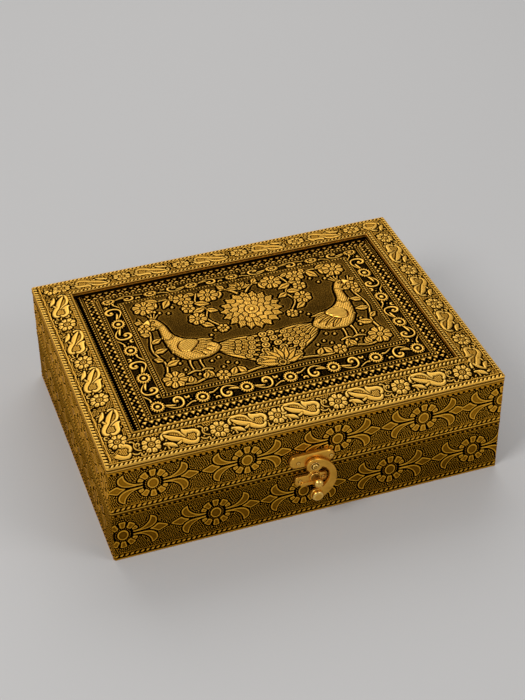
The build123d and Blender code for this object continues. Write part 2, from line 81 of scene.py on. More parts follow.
# Each side's middle, the direction along it, the direction outward and its half length
SIDES = {
    "front": ((0, -HALF_Y), (1, 0), (0, -1), HALF_X),
    "right": ((HALF_X, 0), (0, 1), (1, 0), HALF_Y),
    "back": ((0, HALF_Y), (-1, 0), (0, 1), HALF_X),
    "left": ((-HALF_X, 0), (0, -1), (-1, 0), HALF_Y),
}


def smooth(value, low, high):
    """Smooth step from 0 at low to 1 at high."""
    t = np.clip((value - low) / (high - low), 0, 1)
    return t * t * (3 - 2 * t)


def steps(low, high, step=STEP):
    """Even positions between two limits."""
    return np.linspace(low, high, max(2, int(round((high - low) / step)) + 1))


def between(a, b, c, d, gap):
    """Points from b up to c on the smooth curve through four points."""
    count = max(2, int(math.dist(b[:2], c[:2]) / gap) + 1)
    t = np.linspace(0, 1, count, endpoint=False)[:, None]
    square = 2 * a - 5 * b + 4 * c - d
    cube = 3 * b - a - 3 * c + d
    return 0.5 * (2 * b + (c - a) * t + square * t**2 + cube * t**3)


def spread(points, gap=0.3):
    """Points along a smooth curve through the given points, with any further columns carried along."""
    p = np.asarray(points, float)
    ends = np.vstack([2 * p[0] - p[1], p, 2 * p[-1] - p[-2]])
    parts = [between(*ends[i:i + 4], gap) for i in range(len(p) - 1)]
    return np.vstack([*parts, p[-1:]])


def ring_of(points, gap=0.4):
    """Closed smooth outline through the given points."""
    p = np.asarray(points, float)
    n = len(p)
    return np.vstack([between(p[i - 1], p[i], p[(i + 1) % n], p[(i + 2) % n], gap) for i in range(n)])


def rotated(points, x, y, angle):
    """Points given as outward and sideways distances, about a place and at an angle in radians."""
    c, s = math.cos(angle), math.sin(angle)
    return [(x + u * c - v * s, y + u * s + v * c) for u, v in points]


def aligned(X, Y, x, y, angle):
    """Outward and sideways distances of grid points from a place, at an angle in radians."""
    c, s = math.cos(angle), math.sin(angle)
    return (X - x) * c + (Y - y) * s, (Y - y) * c - (X - x) * s


def mirrored(half):
    """Outline of a petal from one of its edges, which starts and ends on the petal's axis."""
    return half + [(u, -v) for u, v in half[-2:0:-1]]


def pillow(d, edge):
    """Height 0 to 1 of a form with a rounded edge of that width, from its signed distance."""
    t = np.clip(-d / edge, 0, 1)
    return np.sqrt(t * (2 - t))


def boss(d, edge, peak, dish):
    """Height of a form with a rounded edge and a middle that is dished by some depth."""
    return peak * pillow(d, edge) - dish * smooth(-d, edge, edge + 0.5)


def blurred(values, radius):
    """The same field after two passes of a moving mean."""
    size = 2 * radius + 1
    for _ in range(2):
        for axis in (0, 1):
            pad = [(0, 0), (0, 0)]
            pad[axis] = (radius + 1, radius)
            total = np.cumsum(np.pad(values, pad, mode="edge"), axis=axis)
            if axis == 0:
                values = (total[size:] - total[:-size]) / size
            else:
                values = (total[:, size:] - total[:, :-size]) / size
    return values


class Relief:
    """Embossed drawing on a fine grid: height of each motif, and how far each cell is from a motif."""

    def __init__(self, x_low, x_high, y_low, y_high):
        self.x = np.arange(x_low, x_high + CELL, CELL)
        self.y = np.arange(y_low, y_high + CELL, CELL)
        self.gap = np.full((len(self.y), len(self.x)), OPEN)
        self.top = np.zeros_like(self.gap)
        self.bumps = np.zeros_like(self.gap)
        self.fixed = np.zeros(self.gap.shape, bool)

    def window(self, x_low, x_high, y_low, y_high):
        """Slices and coordinates of the cells in a rectangle."""
        def cells(axis, low, high):
            first = int((low - axis[0]) / CELL)
            last = int((high - axis[0]) / CELL) + 2
            return slice(*np.clip([first, last], 0, len(axis)))

        i = cells(self.x, x_low, x_high)
        j = cells(self.y, y_low, y_high)
        return (j, i), np.meshgrid(self.x[i], self.y[j])

    def put(self, place, d, height, cut):
        """Adds a motif from its signed distance and height; cut is the groove it makes in what lies below."""
        near = d < cut
        self.top[place] = np.where(d < 0, height, np.where(near, 0, self.top[place]))
        self.gap[place] = np.where(near, d, np.minimum(self.gap[place], d))

    def disc(self, cx, cy, r, edge, peak, ry=None, turn=0.0, cut=0.0, dish=0.0, hole=0.0):
        """Round or oval boss, with a dished middle or a hole where asked."""
        ry = ry or r
        least = min(r, ry)
        reach = max(r, ry) + MARGIN
        place, (X, Y) = self.window(cx - reach, cx + reach, cy - reach, cy + reach)
        u, v = aligned(X, Y, cx, cy, turn)
        q = np.hypot(u / r, v / ry)
        d = (q - 1) * least
        if hole:
            d = np.maximum(d, (hole / r - q) * least)
        self.put(place, d, boss(d, edge, peak, dish), cut)

    def ring(self, cx, cy, rx, ry, count, r, edge, peak):
        """Even round bosses on an oval."""
        for k in range(count):
            a = 2 * math.pi * k / count
            self.disc(cx + rx * math.cos(a), cy + ry * math.sin(a), r, edge, peak)

    def stroke(self, points, edge, peak, cut=0.0):
        """Brush stroke through (x, y, half width) points."""
        path = spread(points)
        reach = path[:, 2].max() + MARGIN
        low, high = path.min(0) - reach, path.max(0) + reach
        place, (X, Y) = self.window(low[0], high[0], low[1], high[1])
        d = np.full(X.shape, np.inf)
        for x, y, r in path:
            np.minimum(d, np.hypot(X - x, Y - y) - r, out=d)
        self.put(place, d, boss(d, edge, peak, 0.0), cut)

    def shape(self, points, edge, peak, cut=0.0, dish=0.0, mark=None):
        """Closed smooth outline through points; mark adds lines to its top."""
        path = ring_of(points)
        low, high = path.min(0) - MARGIN, path.max(0) + MARGIN
        place, (X, Y) = self.window(low[0], high[0], low[1], high[1])
        nearest = np.full(X.shape, np.inf)
        inside = np.zeros(X.shape, bool)
        for (ax, ay), (bx, by) in zip(path, np.roll(path, -1, axis=0)):
            ex, ey = bx - ax, by - ay
            wx, wy = X - ax, Y - ay
            t = np.clip((wx * ex + wy * ey) / max(ex * ex + ey * ey, TINY), 0, 1)
            np.minimum(nearest, (wx - ex * t) ** 2 + (wy - ey * t) ** 2, out=nearest)
            crosses = (ay > Y) != (by > Y)
            side = (bx - ax) * (Y - ay) / np.where(by == ay, TINY, by - ay) + ax
            inside ^= crosses & (X < side)
        d = np.sqrt(nearest) * np.where(inside, -1, 1)
        h = boss(d, edge, peak, dish)
        if mark is not None:
            h = h * (1 + mark(X, Y) * smooth(-d, 0.2, 0.9))
        self.put(place, d, h, cut)

    def stamp(self, other, cx, cy, flip_x=False, flip_y=False, turned=False, cut=0.0):
        """Copies a small drawing, centred on its own origin, to a place on this one."""
        gap, top = other.gap, other.top
        if turned:
            gap, top = gap.T[:, ::-1], top.T[:, ::-1]
        if flip_x:
            gap, top = gap[:, ::-1], top[:, ::-1]
        if flip_y:
            gap, top = gap[::-1], top[::-1]
        rows, columns = gap.shape
        i = int(round((cx - self.x[0]) / CELL - (columns - 1) / 2))
        j = int(round((cy - self.y[0]) / CELL - (rows - 1) / 2))
        i0, i1 = max(i, 0), min(i + columns, len(self.x))
        j0, j1 = max(j, 0), min(j + rows, len(self.y))
        part = (slice(j0 - j, j1 - j), slice(i0 - i, i1 - i))
        self.put((slice(j0, j1), slice(i0, i1)), gap[part], top[part], cut)

    def row(self, low, high, wave, start=-np.inf, end=np.inf, upright=False):
        """Fills a straight row with a wave; upright rows run along y."""
        along, over = (self.y, self.x) if upright else (self.x, self.y)
        a = np.nonzero((along >= start) & (along <= end))[0]
        b = np.nonzero((over >= low) & (over <= high))[0]
        A, T = np.meshgrid(along[a], (over[b] - (low + high) / 2) / ((high - low) / 2))
        place = np.ix_(a, b) if upright else np.ix_(b, a)
        self.top[place] = wave(A, T).T if upright else wave(A, T)
        self.gap[place] = -1.0
        self.fixed[place] = True

    def border(self, outer, inner, wave):
        """Fills a rectangular ring of rows round the middle, from outer to inner half sizes."""
        for sign in (-1, 1):
            def facing(a, t):
                return wave(a, t * sign)

            low, high = sorted((sign * inner[1], sign * outer[1]))
            self.row(low, high, facing, -outer[0], outer[0])
            low, high = sorted((sign * inner[0], sign * outer[0]))
            self.row(low, high, facing, -inner[1], inner[1], upright=True)

    def dots(self, spots, radius, rise):
        """Small round bumps added to the ground."""
        reach = int(radius / CELL) + 1
        k = np.arange(-reach, reach + 1)
        kx, ky = np.meshgrid(k, k)
        i = np.round((spots[:, 0] - self.x[0]) / CELL).astype(int)[:, None, None] + kx
        j = np.round((spots[:, 1] - self.y[0]) / CELL).astype(int)[:, None, None] + ky
        i, j = np.clip(i, 0, len(self.x) - 1), np.clip(j, 0, len(self.y) - 1)
        d = np.hypot(self.x[i] - spots[:, 0, None, None], self.y[j] - spots[:, 1, None, None])
        bump = rise * np.sqrt(np.clip(1 - (d / radius) ** 2, 0, 1))
        np.maximum.at(self.bumps, (j, i), bump)

    def at(self, field, x, y):
        """Value of a field at points, between its cells."""
        just_inside = 1.001
        u = np.clip((x - self.x[0]) / CELL, 0, len(self.x) - just_inside)
        v = np.clip((y - self.y[0]) / CELL, 0, len(self.y) - just_inside)
        i, j = u.astype(int), v.astype(int)
        fu, fv = u - i, v - j
        top = field[j, i] * (1 - fu) + field[j, i + 1] * fu
        low = field[j + 1, i] * (1 - fu) + field[j + 1, i + 1] * fu
        return top * (1 - fv) + low * fv

    def beads_round(self, level, pitch, radius, rise):
        """A row of beads that follows every motif at one distance from it."""
        j, i = np.nonzero((np.abs(self.gap - level) < CELL * 0.75) & ~self.fixed)
        reach = int(pitch / CELL)
        k = np.arange(-reach, reach + 1)
        disc = np.hypot(*np.meshgrid(k, k)) < reach
        taken = np.zeros((len(self.y) + 2 * reach, len(self.x) + 2 * reach), bool)
        kept = []
        for a, b in zip(j, i):
            if not taken[a + reach, b + reach]:
                kept.append((self.x[b], self.y[a]))
                taken[a:a + 2 * reach + 1, b:b + 2 * reach + 1] |= disc
        self.dots(np.array(kept), radius, rise)

    def finish(self, seed, groove=0.75, level=0.0, pitch=1.26, radius=0.48, peak=0.92,
               beads=0.95, start=1.85):
        """Turns the drawing into heights and patina, with grooves, beads and a stippled ground."""
        rows = []
        for k, y in enumerate(np.arange(self.y[0], self.y[-1], pitch * 0.87)):
            x = np.arange(self.x[0] + (k % 2) * pitch / 2, self.x[-1], pitch)
            rows.append(np.column_stack([x, np.full(len(x), y)]))
        spots = np.vstack(rows)
        spots += np.random.default_rng(seed).uniform(-0.1, 0.1, spots.shape) * pitch
        # The rows of dots wander, so that the ground doesn't look hatched
        spots[:, 0] += 0.42 * pitch * np.sin(spots[:, 1] / 2.1 + spots[:, 0] / 6.3)
        spots[:, 1] += 0.36 * pitch * np.sin(spots[:, 0] / 2.6)
        clear = self.at(self.gap, spots[:, 0], spots[:, 1]) > start
        self.dots(spots[clear], radius, peak)
        if beads:
            self.beads_round(groove + 0.45, 1.2, 0.45, beads)
        wall = smooth(self.gap, 0.0, 0.25) * (1 - smooth(self.gap, groove - 0.2, groove + 0.1))
        ground = (level + self.bumps) * (1 - wall)
        self.height = blurred(np.where(self.gap < 0, self.top, ground), 1)
        cavity = self.height - blurred(self.height, 4)
        self.shade = np.clip(0.6 * self.height + 1.3 * cavity + 0.1 - 0.28 * wall, 0, 1)
        return self


# Rows: each wave gives a height from the distance along the row and from -1 to 1 across it


def rope(period, lean, dark):
    """Row of slanting strokes over a dark ground."""
    def wave(x, t):
        phase = (x / period + lean * t) % 1.0
        bar = np.clip(np.sin(np.pi * phase) * 1.5 - 0.35, 0, 1)
        return np.maximum(bar * np.sqrt(np.clip(1 - t * t * 0.9, 0, 1)), dark)
    return wave


def line(height):
    """Plain rounded line."""
    return lambda x, t: height * np.sqrt(np.clip(1 - t * t, 0, 1))


def pearls(period):
    """Row of round beads."""
    def wave(x, t):
        u = ((x / period) % 1.0 - 0.5) * 2
        return np.sqrt(np.clip(1 - (u / 0.8) ** 2 - (t / 0.9) ** 2, 0, 1))
    return wave


def ovals(period, lean, peak=1.0):
    """Row of slanting oval beads on black."""
    def wave(x, t):
        u = (((x / period) + lean * t) % 1.0 - 0.5) * period
        return peak * np.sqrt(np.clip(1 - (u / 0.62) ** 2 - (t / 0.85) ** 2, 0, 1))
    return wave


def blocks(period, gap):
    """Worn band with dark holes along its lower half."""
    def wave(x, t):
        phase = (x / period + 0.12 * t) % 1.0
        hole = smooth(np.abs(phase - 0.5), gap / 2 - 0.08, gap / 2 + 0.08)
        return np.clip(0.62 * np.maximum(hole, smooth(t, 0.1, 0.5)) + 0.1 + 0.04 * np.sin(9 * t), 0, 0.8)
    return wave


def triangles(x, t):
    """Border of triangles that point to one another, with a bright or a dim dot between them."""
    period = 4.3
    across = np.abs(t)
    d = np.abs((x / period) % 1.0 - 0.5) * period - 1.85 * (across - 0.24) / 0.76
    h = 0.95 * pillow(np.where(across > 0.24, d, 1.0), 0.4)
    u = ((x / period + 0.5) % 1.0 - 0.5) * period
    bright = np.floor(x / period + 0.5) % 2 > 0
    dot = np.sqrt(np.clip(1 - (u / 0.85) ** 2 - (across / 0.36) ** 2, 0, 1))
    return np.maximum(h, dot * np.where(bright, 0.95, 0.3))


# Motifs, each drawn once about its own origin


def side_flower():
    """Flower of the side bands with two crescent leaves and a bud on either side."""
    art = Relief(-30, 30, -14, 14)
    crescent = [
        (6.5, 1.7), (9.5, 2.0), (12.5, 3.1), (15.1, 5.1), (16.7, 7.4), (17.3, 9.6), (17.5, 11.0),
        (19.2, 10.3), (20.8, 9.0), (21.5, 7.2), (21.3, 5.2), (20.2, 3.4), (18.3, 1.9), (15.5, 0.9),
        (11.0, 0.6), (6.5, 0.7),
    ]
    kite = mirrored([(16.8, 0.0), (19.6, 1.6), (21.7, 3.2), (24.2, 2.5), (28.2, 0.0)])
    for side in (1, -1):
        for height in (1.0, -1.04):
            art.shape([(side * x, height * y) for x, y in crescent], 0.55, 0.95, dish=0.28)
        art.shape([(side * x, y) for x, y in kite], 0.55, 0.95, dish=0.28)
    for angle, inner, outer, near, far in (
        (90, 5.7, 10.6, 1.3, 2.25), (53, 5.9, 10.7, 1.4, 2.4), (127, 5.9, 10.7, 1.4, 2.4),
        (28, 6.8, 10.2, 0.9, 1.6), (152, 6.8, 10.2, 0.9, 1.6), (-90, 5.5, 10.3, 1.3, 2.15),
        (-53, 5.7, 10.4, 1.4, 2.3), (-127, 5.7, 10.4, 1.4, 2.3), (-28, 6.8, 9.9, 0.9, 1.4),
        (-152, 6.8, 9.9, 0.9, 1.4),
    ):
        middle = (inner + outer) / 2
        edge = [(inner, near), (middle, (near + far) / 2 + 0.1), (outer - 0.9, far), (outer - 0.1, far * 0.7)]
        petal = [(u, -v) for u, v in edge] + [(outer, 0.0)] + edge[::-1]
        art.shape(rotated(petal, 0, 0, math.radians(angle)), 0.5, 0.95, dish=0.2)
    art.disc(0, 0, 3.6, 0.6, 1.0, ry=4.1, dish=0.32)
    art.ring(0, 0, 4.6, 4.95, 22, 0.42, 0.4, 0.75)
    return art


def tulip():
    """Curled tulip of the lid's frame, with its hatched cup and a small leaf."""
    art = Relief(-13, 13, -8, 8)

    def hatch(X, Y):
        return 0.55 * np.cos(2 * np.pi * (X + 0.2 * Y) / 1.05)

    art.shape([
        (-6.6, 4.9), (-3.4, 4.9), (-0.4, 3.0), (1.9, 0.0), (-0.6, 0.9), (-3.8, 2.9),
    ], 0.5, 0.6, mark=hatch)
    cup = [
        (3.4, 2.6), (6.5, 3.4), (9.6, 2.4), (10.4, 0.4), (9.2, -2.0), (8.6, -4.0), (5.6, -3.8), (2.9, -1.4),
    ]
    art.shape(cup, 0.5, 0.62, mark=hatch)
    art.stroke([
        (-10.6, -1.6, 0.8), (-8.6, -2.3, 1.35), (-6.3, -3.3, 1.6), (-4.5, -4.6, 1.0), (-3.9, -5.3, 0.6),
    ], 0.7, 0.95)
    art.stroke([(-9.6, -2.6, 0.45), (-8.9, -4.0, 0.5), (-8.6, -5.7, 0.6)], 0.4, 0.8)
    art.stroke([
        (-10.8, 2.2, 1.05), (-10.9, 3.9, 0.95), (-9.6, 5.3, 1.05), (-7.8, 6.1, 1.1), (-5.1, 6.3, 1.15),
        (-2.2, 5.6, 1.15), (-0.3, 4.3, 1.05), (1.0, 2.3, 0.95), (2.6, 0.2, 0.7),
    ], 0.7, 0.98)
    art.stroke([
        (-9.3, 4.6, 0.6), (-7.2, 2.7, 1.3), (-4.8, 1.0, 1.75), (-2.1, -0.3, 1.75), (0.4, -1.5, 1.7),
        (2.2, -3.0, 1.75), (4.4, -4.5, 1.6), (6.8, -5.1, 1.4), (8.7, -4.6, 1.2), (9.7, -3.2, 1.0),
        (9.6, -1.8, 0.8),
    ], 0.8, 0.95, cut=0.3)
    art.stroke([(-0.4, -2.3, 0.9), (-1.8, -3.2, 0.75), (-2.5, -3.4, 0.8)], 0.6, 0.9)
    art.shape([
        (2.0, 6.8), (3.6, 5.6), (6.0, 5.1), (8.9, 4.8), (11.0, 3.6), (12.1, 1.8), (12.1, 0.1),
        (11.2, -1.4), (9.6, -2.2), (8.9, -1.1), (9.6, 0.2), (9.2, 1.3), (8.0, 1.9), (6.0, 1.7),
        (4.7, 2.0), (4.1, 1.3), (3.7, 0.0), (2.3, 1.7), (1.2, 4.0),
    ], 0.8, 1.0, cut=0.25)
    return art


def daisy():
    """Eight-petalled flower of the lid's frame with the curls beside it."""
    art = Relief(-13, 8, -8, 8)
    angles = [math.pi / 4 * k + 0.2 for k in range(8)]
    for a in angles:
        art.disc(4.1 * math.cos(a), 4.1 * math.sin(a), 1.95, 0.5, 0.95, ry=1.8, turn=a)
    place, (X, Y) = art.window(-7, 7, -7, 7)
    for a in angles:
        u, v = aligned(X, Y, 0, 0, a)
        slot = np.maximum(np.abs(u - 5.3) - 0.8, np.abs(v) - 0.1)
        art.top[place] *= np.where(slot < 0.25, 0.45 + 0.55 * smooth(slot, -0.1, 0.25), 1)
        crease = np.maximum(np.abs(u * math.sin(math.pi / 8) - v * math.cos(math.pi / 8)), 2.4 - u)
        art.top[place] *= 0.35 + 0.65 * smooth(crease, 0.12, 0.45)
    art.disc(0, 0, 2.3, 0.3, 0.1, cut=0.35)
    art.disc(0, 0, 1.95, 0.35, 0.75, hole=1.2)
    art.disc(0, 0, 0.95, 0.8, 1.0)
    art.stroke([
        (-11.6, 5.3, 0.7), (-10.3, 4.9, 0.45), (-9.5, 3.6, 0.45), (-10.2, 1.8, 0.45), (-10.0, 0.0, 0.45),
        (-8.8, -1.5, 0.45), (-6.8, -2.3, 0.4),
    ], 0.45, 0.85)
    art.stroke([
        (-8.9, 0.9, 0.4), (-8.8, 2.6, 0.5), (-7.4, 3.3, 0.55), (-6.8, 2.0, 0.5), (-7.6, 1.2, 0.4),
    ], 0.45, 0.85)
    art.stroke([(-12.2, -2.9, 0.4), (-11.0, -4.2, 0.5), (-9.0, -4.5, 0.45), (-7.3, -3.6, 0.35)], 0.45, 0.8)
    art.stroke([(-7.0, -4.4, 0.4), (-7.3, -6.0, 0.5), (-5.6, -6.3, 0.5), (-4.6, -5.0, 0.4)], 0.45, 0.8)
    art.stroke([(6.6, -5.4, 0.45), (7.3, -4.4, 0.35)], 0.4, 0.7)
    return art


def rosette():
    """Ring flower of the panel's border."""
    art = Relief(-6, 6, -6, 6)
    art.disc(0, 0, 3.95, 0.6, 0.95, ry=4.4, hole=2.55)
    art.ring(0, 0, 4.0, 4.6, 16, 0.66, 0.6, 1.0)
    art.disc(0, 0, 1.65, 1.0, 1.05)
    return art


def scroll():
    """Acanthus scroll between two rosettes."""
    art = Relief(-11, 11, -6.3, 6.3)
    art.stroke([
        (9.2, 1.4, 0.35), (6.4, 3.4, 0.6), (3.4, 4.7, 0.65), (0.6, 4.4, 0.75), (-1.4, 2.6, 0.85),
        (-2.1, -0.3, 0.95), (-1.5, -3.0, 1.1), (0.4, -4.5, 1.15), (2.6, -3.8, 1.05), (3.4, -1.8, 0.95),
        (2.3, -0.5, 0.9),
    ], 0.85, 1.0)
    art.disc(1.6, -1.2, 1.3, 0.9, 1.0)
    art.stroke([(3.4, 2.0, 0.5), (5.6, 1.7, 1.0), (8.0, 0.9, 0.9), (9.4, 0.2, 0.4)], 0.8, 0.95)
    art.stroke([(-8.8, 2.2, 0.9), (-6.8, 2.3, 0.6), (-4.6, 3.6, 0.55), (-2.4, 5.2, 0.35)], 0.6, 0.95)
    art.stroke([(-6.6, -4.2, 0.4), (-6.2, -2.9, 0.85), (-4.6, -2.7, 0.8), (-3.9, -4.4, 0.4)], 0.6, 0.9)
    art.disc(-6.9, -0.6, 0.65, 0.6, 0.5)
    return art


FLOWER, TULIP, DAISY, ROSETTE, SCROLL = side_flower(), tulip(), daisy(), rosette(), scroll()


def faced(angle, side):
    """Angle in degrees, turned over left to right where side is -1."""
    return angle if side > 0 else 180 - angle


def leaf(art, x, y, angle, length, width, cut=0.25):
    """Pointed leaf with veins, at an angle in degrees."""
    turn = math.radians(angle)
    half = [(0, 0), (0.22, 0.36), (0.5, 0.5), (0.8, 0.24), (1, 0)]
    outline = rotated([(length * a, width * b) for a, b in mirrored(half)], x, y, turn)

    def veins(X, Y):
        u, v = aligned(X, Y, x, y, turn)
        v = np.abs(v)
        rib = np.exp(-((v / 0.3) ** 2))
        return 0.16 * np.cos(2 * np.pi * (u - 0.8 * v) / 1.25) - 0.4 * rib - 0.12

    art.shape(outline, 0.7, 1.0, cut, mark=veins)


def blossom(art, x, y, r, count, turn):
    """Round flower with striped petals and a beaded middle."""
    w = r * math.sin(math.pi / count) * 0.62
    petal = mirrored([(0.3 * r, 0), (0.5 * r, w * 0.8), (0.8 * r, w * 1.15), (0.97 * r, w * 0.5), (r, 0)])

    def stripes(X, Y):
        angle = np.arctan2(Y - y, X - x)
        return 0.22 * np.cos(angle * count * 3 - turn * count * 3 + math.pi) - 0.15

    for k in range(count):
        art.shape(rotated(petal, x, y, turn + 2 * math.pi * k / count), 0.6, 1.0, 0.3, mark=stripes)
    art.disc(x, y, 0.27 * r, 0.5, 0.9, cut=0.3)
    art.disc(x, y, 0.12 * r, 0.3, 1.0, cut=0.15)


def feather(art, x, y, angle, length, width, eye):
    """Tail feather at an angle in degrees, with its barbs and an eye at its end."""
    leaf(art, x, y, angle, length, width, 0.3)
    turn = math.radians(angle)
    ex, ey = x + length * math.cos(turn), y + length * math.sin(turn)
    art.disc(ex, ey, eye * 1.15, 0.6, 0.95, ry=eye, turn=turn, cut=0.4, dish=0.4)
    art.disc(ex, ey, eye * 0.5, 0.6, 1.1, cut=0.1)


# Outline of the peacock's body, and its rows of feathers: length, first and last angle, count, width, eye
BIRD = (
    (-13, -6), (-6, 4), (6, 9), (12, 16), (14, 26), (17, 33), (20.5, 35.6), (23, 35), (24.4, 32.4), (23, 29),
    (19.5, 25), (19.5, 12), (17, -4), (9, -13), (-4, -13),
)
TAIL = ((35.5, 179, 224, 6, 5.0, 2.5), (27.0, 182, 221, 5, 4.4, 2.1), (18.5, 185, 218, 4, 3.6, 1.8))


def peacock(art, x, y, side):
    """Standing peacock that looks to one side, with a long tail behind it."""
    def at(*points):
        return [(x + side * p[0], y + p[1], *p[2:]) for p in points]

    for length, first, last, count, width, eye in TAIL:
        for k in range(count):
            angle = first + (last - first) * k / (count - 1)
            feather(art, x - side * 6, y - 4, faced(angle, side), length, width, eye)
    art.stroke(at((3, -11, 1.3), (4.0, -17, 0.7), (3.4, -24, 0.7)), 0.7, 0.95, cut=0.35)
    art.stroke(at((9, -10, 1.3), (10.5, -17, 0.7), (10.2, -24, 0.7)), 0.7, 0.95, cut=0.35)
    art.stroke(at((-1.0, -25.4, 0.6), (3.4, -24.2, 0.75), (7.4, -25.6, 0.5)), 0.6, 0.95, cut=0.2)
    art.stroke(at((6.6, -25.2, 0.5), (10.2, -24.2, 0.75), (15.0, -25.6, 0.5)), 0.6, 0.95, cut=0.2)

    def scales(X, Y):
        row = np.floor(Y / 1.35)
        u = (X / 1.7 + 0.5 * (row % 2)) % 1.0 - 0.5
        v = Y / 1.35 - row
        return 0.1 - 0.5 * smooth(np.hypot(u * 1.5, v - 0.1), 0.55, 0.95)

    art.shape(at(*BIRD), 3.4, 1.35, 0.5, mark=scales)
    art.shape(at((22.6, 34.8), (25.4, 33.6), (29.2, 30.0), (26.0, 30.2), (22.8, 29.6)), 0.7, 1.25, 0.25)
    art.disc(x + side * 20.6, y + 31.6, 1.15, 0.4, 0.9, cut=0.4)
    art.disc(x + side * 20.6, y + 31.6, 0.55, 0.4, 1.3, cut=0.1)
    art.stroke(at((15.6, 26.4, 0.45), (17.6, 25.0, 0.45), (20.0, 24.8, 0.45)), 0.45, 1.25, cut=0.3)
    for k in range(8):
        share = k / 7
        sag = 3.4 * math.sin(math.pi * share)
        art.disc(x + side * (12.2 + 7.3 * share), y + 13.6 - sag, 0.62, 0.5, 1.45, cut=0.25)
    for dx, dy in ((-6.0, 5.5), (-3.2, 7.6), (0.2, 8.3), (3.6, 7.2)):
        art.stroke(at(
            (19.6 + dx * 0.2, 35.0, 0.4), (19.4 + dx * 0.7, 35 + dy * 0.7, 0.4),
        ), 0.4, 0.95, cut=0.2)
        art.disc(x + side * (19.4 + dx), y + 35 + dy * 0.95, 1.1, 0.7, 1.1, cut=0.25)
    for k, (length, angle) in enumerate(((15, 184), (16, 194), (16, 204), (15, 215), (13, 227))):
        leaf(art, *at((4.0 + 0.9 * k, 4.5 - 1.7 * k))[0], faced(angle, side), length, 3.6, 0.35)

    def quills(X, Y):
        return 0.24 * np.cos(2 * np.pi * ((Y - y) + 0.5 * side * (X - x)) / 1.5) - 0.1

    wing = at((-1.0, 3.4), (3.6, 7.2), (9.4, 6.6), (13.0, 2.0), (12.0, -3.4), (8.0, -5.2), (3.8, -2.6))
    art.shape(wing, 1.4, 1.6, 0.4, mark=quills)


def lotus(art, x, y, r, petals):
    """Open lotus seen from the side: short petals behind long ones, fanned out on a beaded cup."""
    fan = 150.0
    for shift, count, size in ((0.5, petals - 1, 0.84), (0.0, petals, 1.0)):
        for k in range(count):
            leaf(art, x, y, 90.0 + fan * ((k + shift) / (petals - 1) - 0.5), r * size, r * 0.4, 0.3)
    art.disc(x, y, r * 0.16, 0.6, 0.9, cut=0.3, dish=0.4)
    for k in range(7):
        turn = math.radians(90.0 + fan * (k / 6 - 0.5))
        art.disc(x + 0.24 * r * math.cos(turn), y + 0.24 * r * math.sin(turn), 0.045 * r, 0.4, 0.9, cut=0.15)


def medallion(art, x, y):
    """Round lotus of three rings of petals."""
    for r, count, width, peak in ((19.6, 18, 0.62, 0.95), (14.2, 14, 0.66, 1.15), (9.2, 9, 0.7, 1.35)):
        w = r * math.sin(math.pi / count) * 1.05
        root = r * width * 0.6
        edge = [(root, 0), (root * 1.25, w * 0.7), (0.8 * r, w * 0.92), (0.93 * r, w * 0.42), (1.04 * r, 0)]
        petal = mirrored(edge)
        for k in range(count):
            turn = 2 * math.pi * (k + 0.5) / count

            def ribs(X, Y):
                v = np.abs(aligned(X, Y, x, y, turn)[1])
                return 0.24 * np.cos(2 * np.pi * v / 1.1) - 0.14

            art.shape(rotated(petal, x, y, turn), 0.8, peak, 0.35, mark=ribs)
    art.disc(x, y, 4.8, 0.7, 1.3, cut=0.4, dish=0.25)
    art.ring(x, y, 3.4, 3.4, 12, 0.68, 0.5, 1.5)
    art.disc(x, y, 2.0, 1.2, 1.55, cut=0.1)


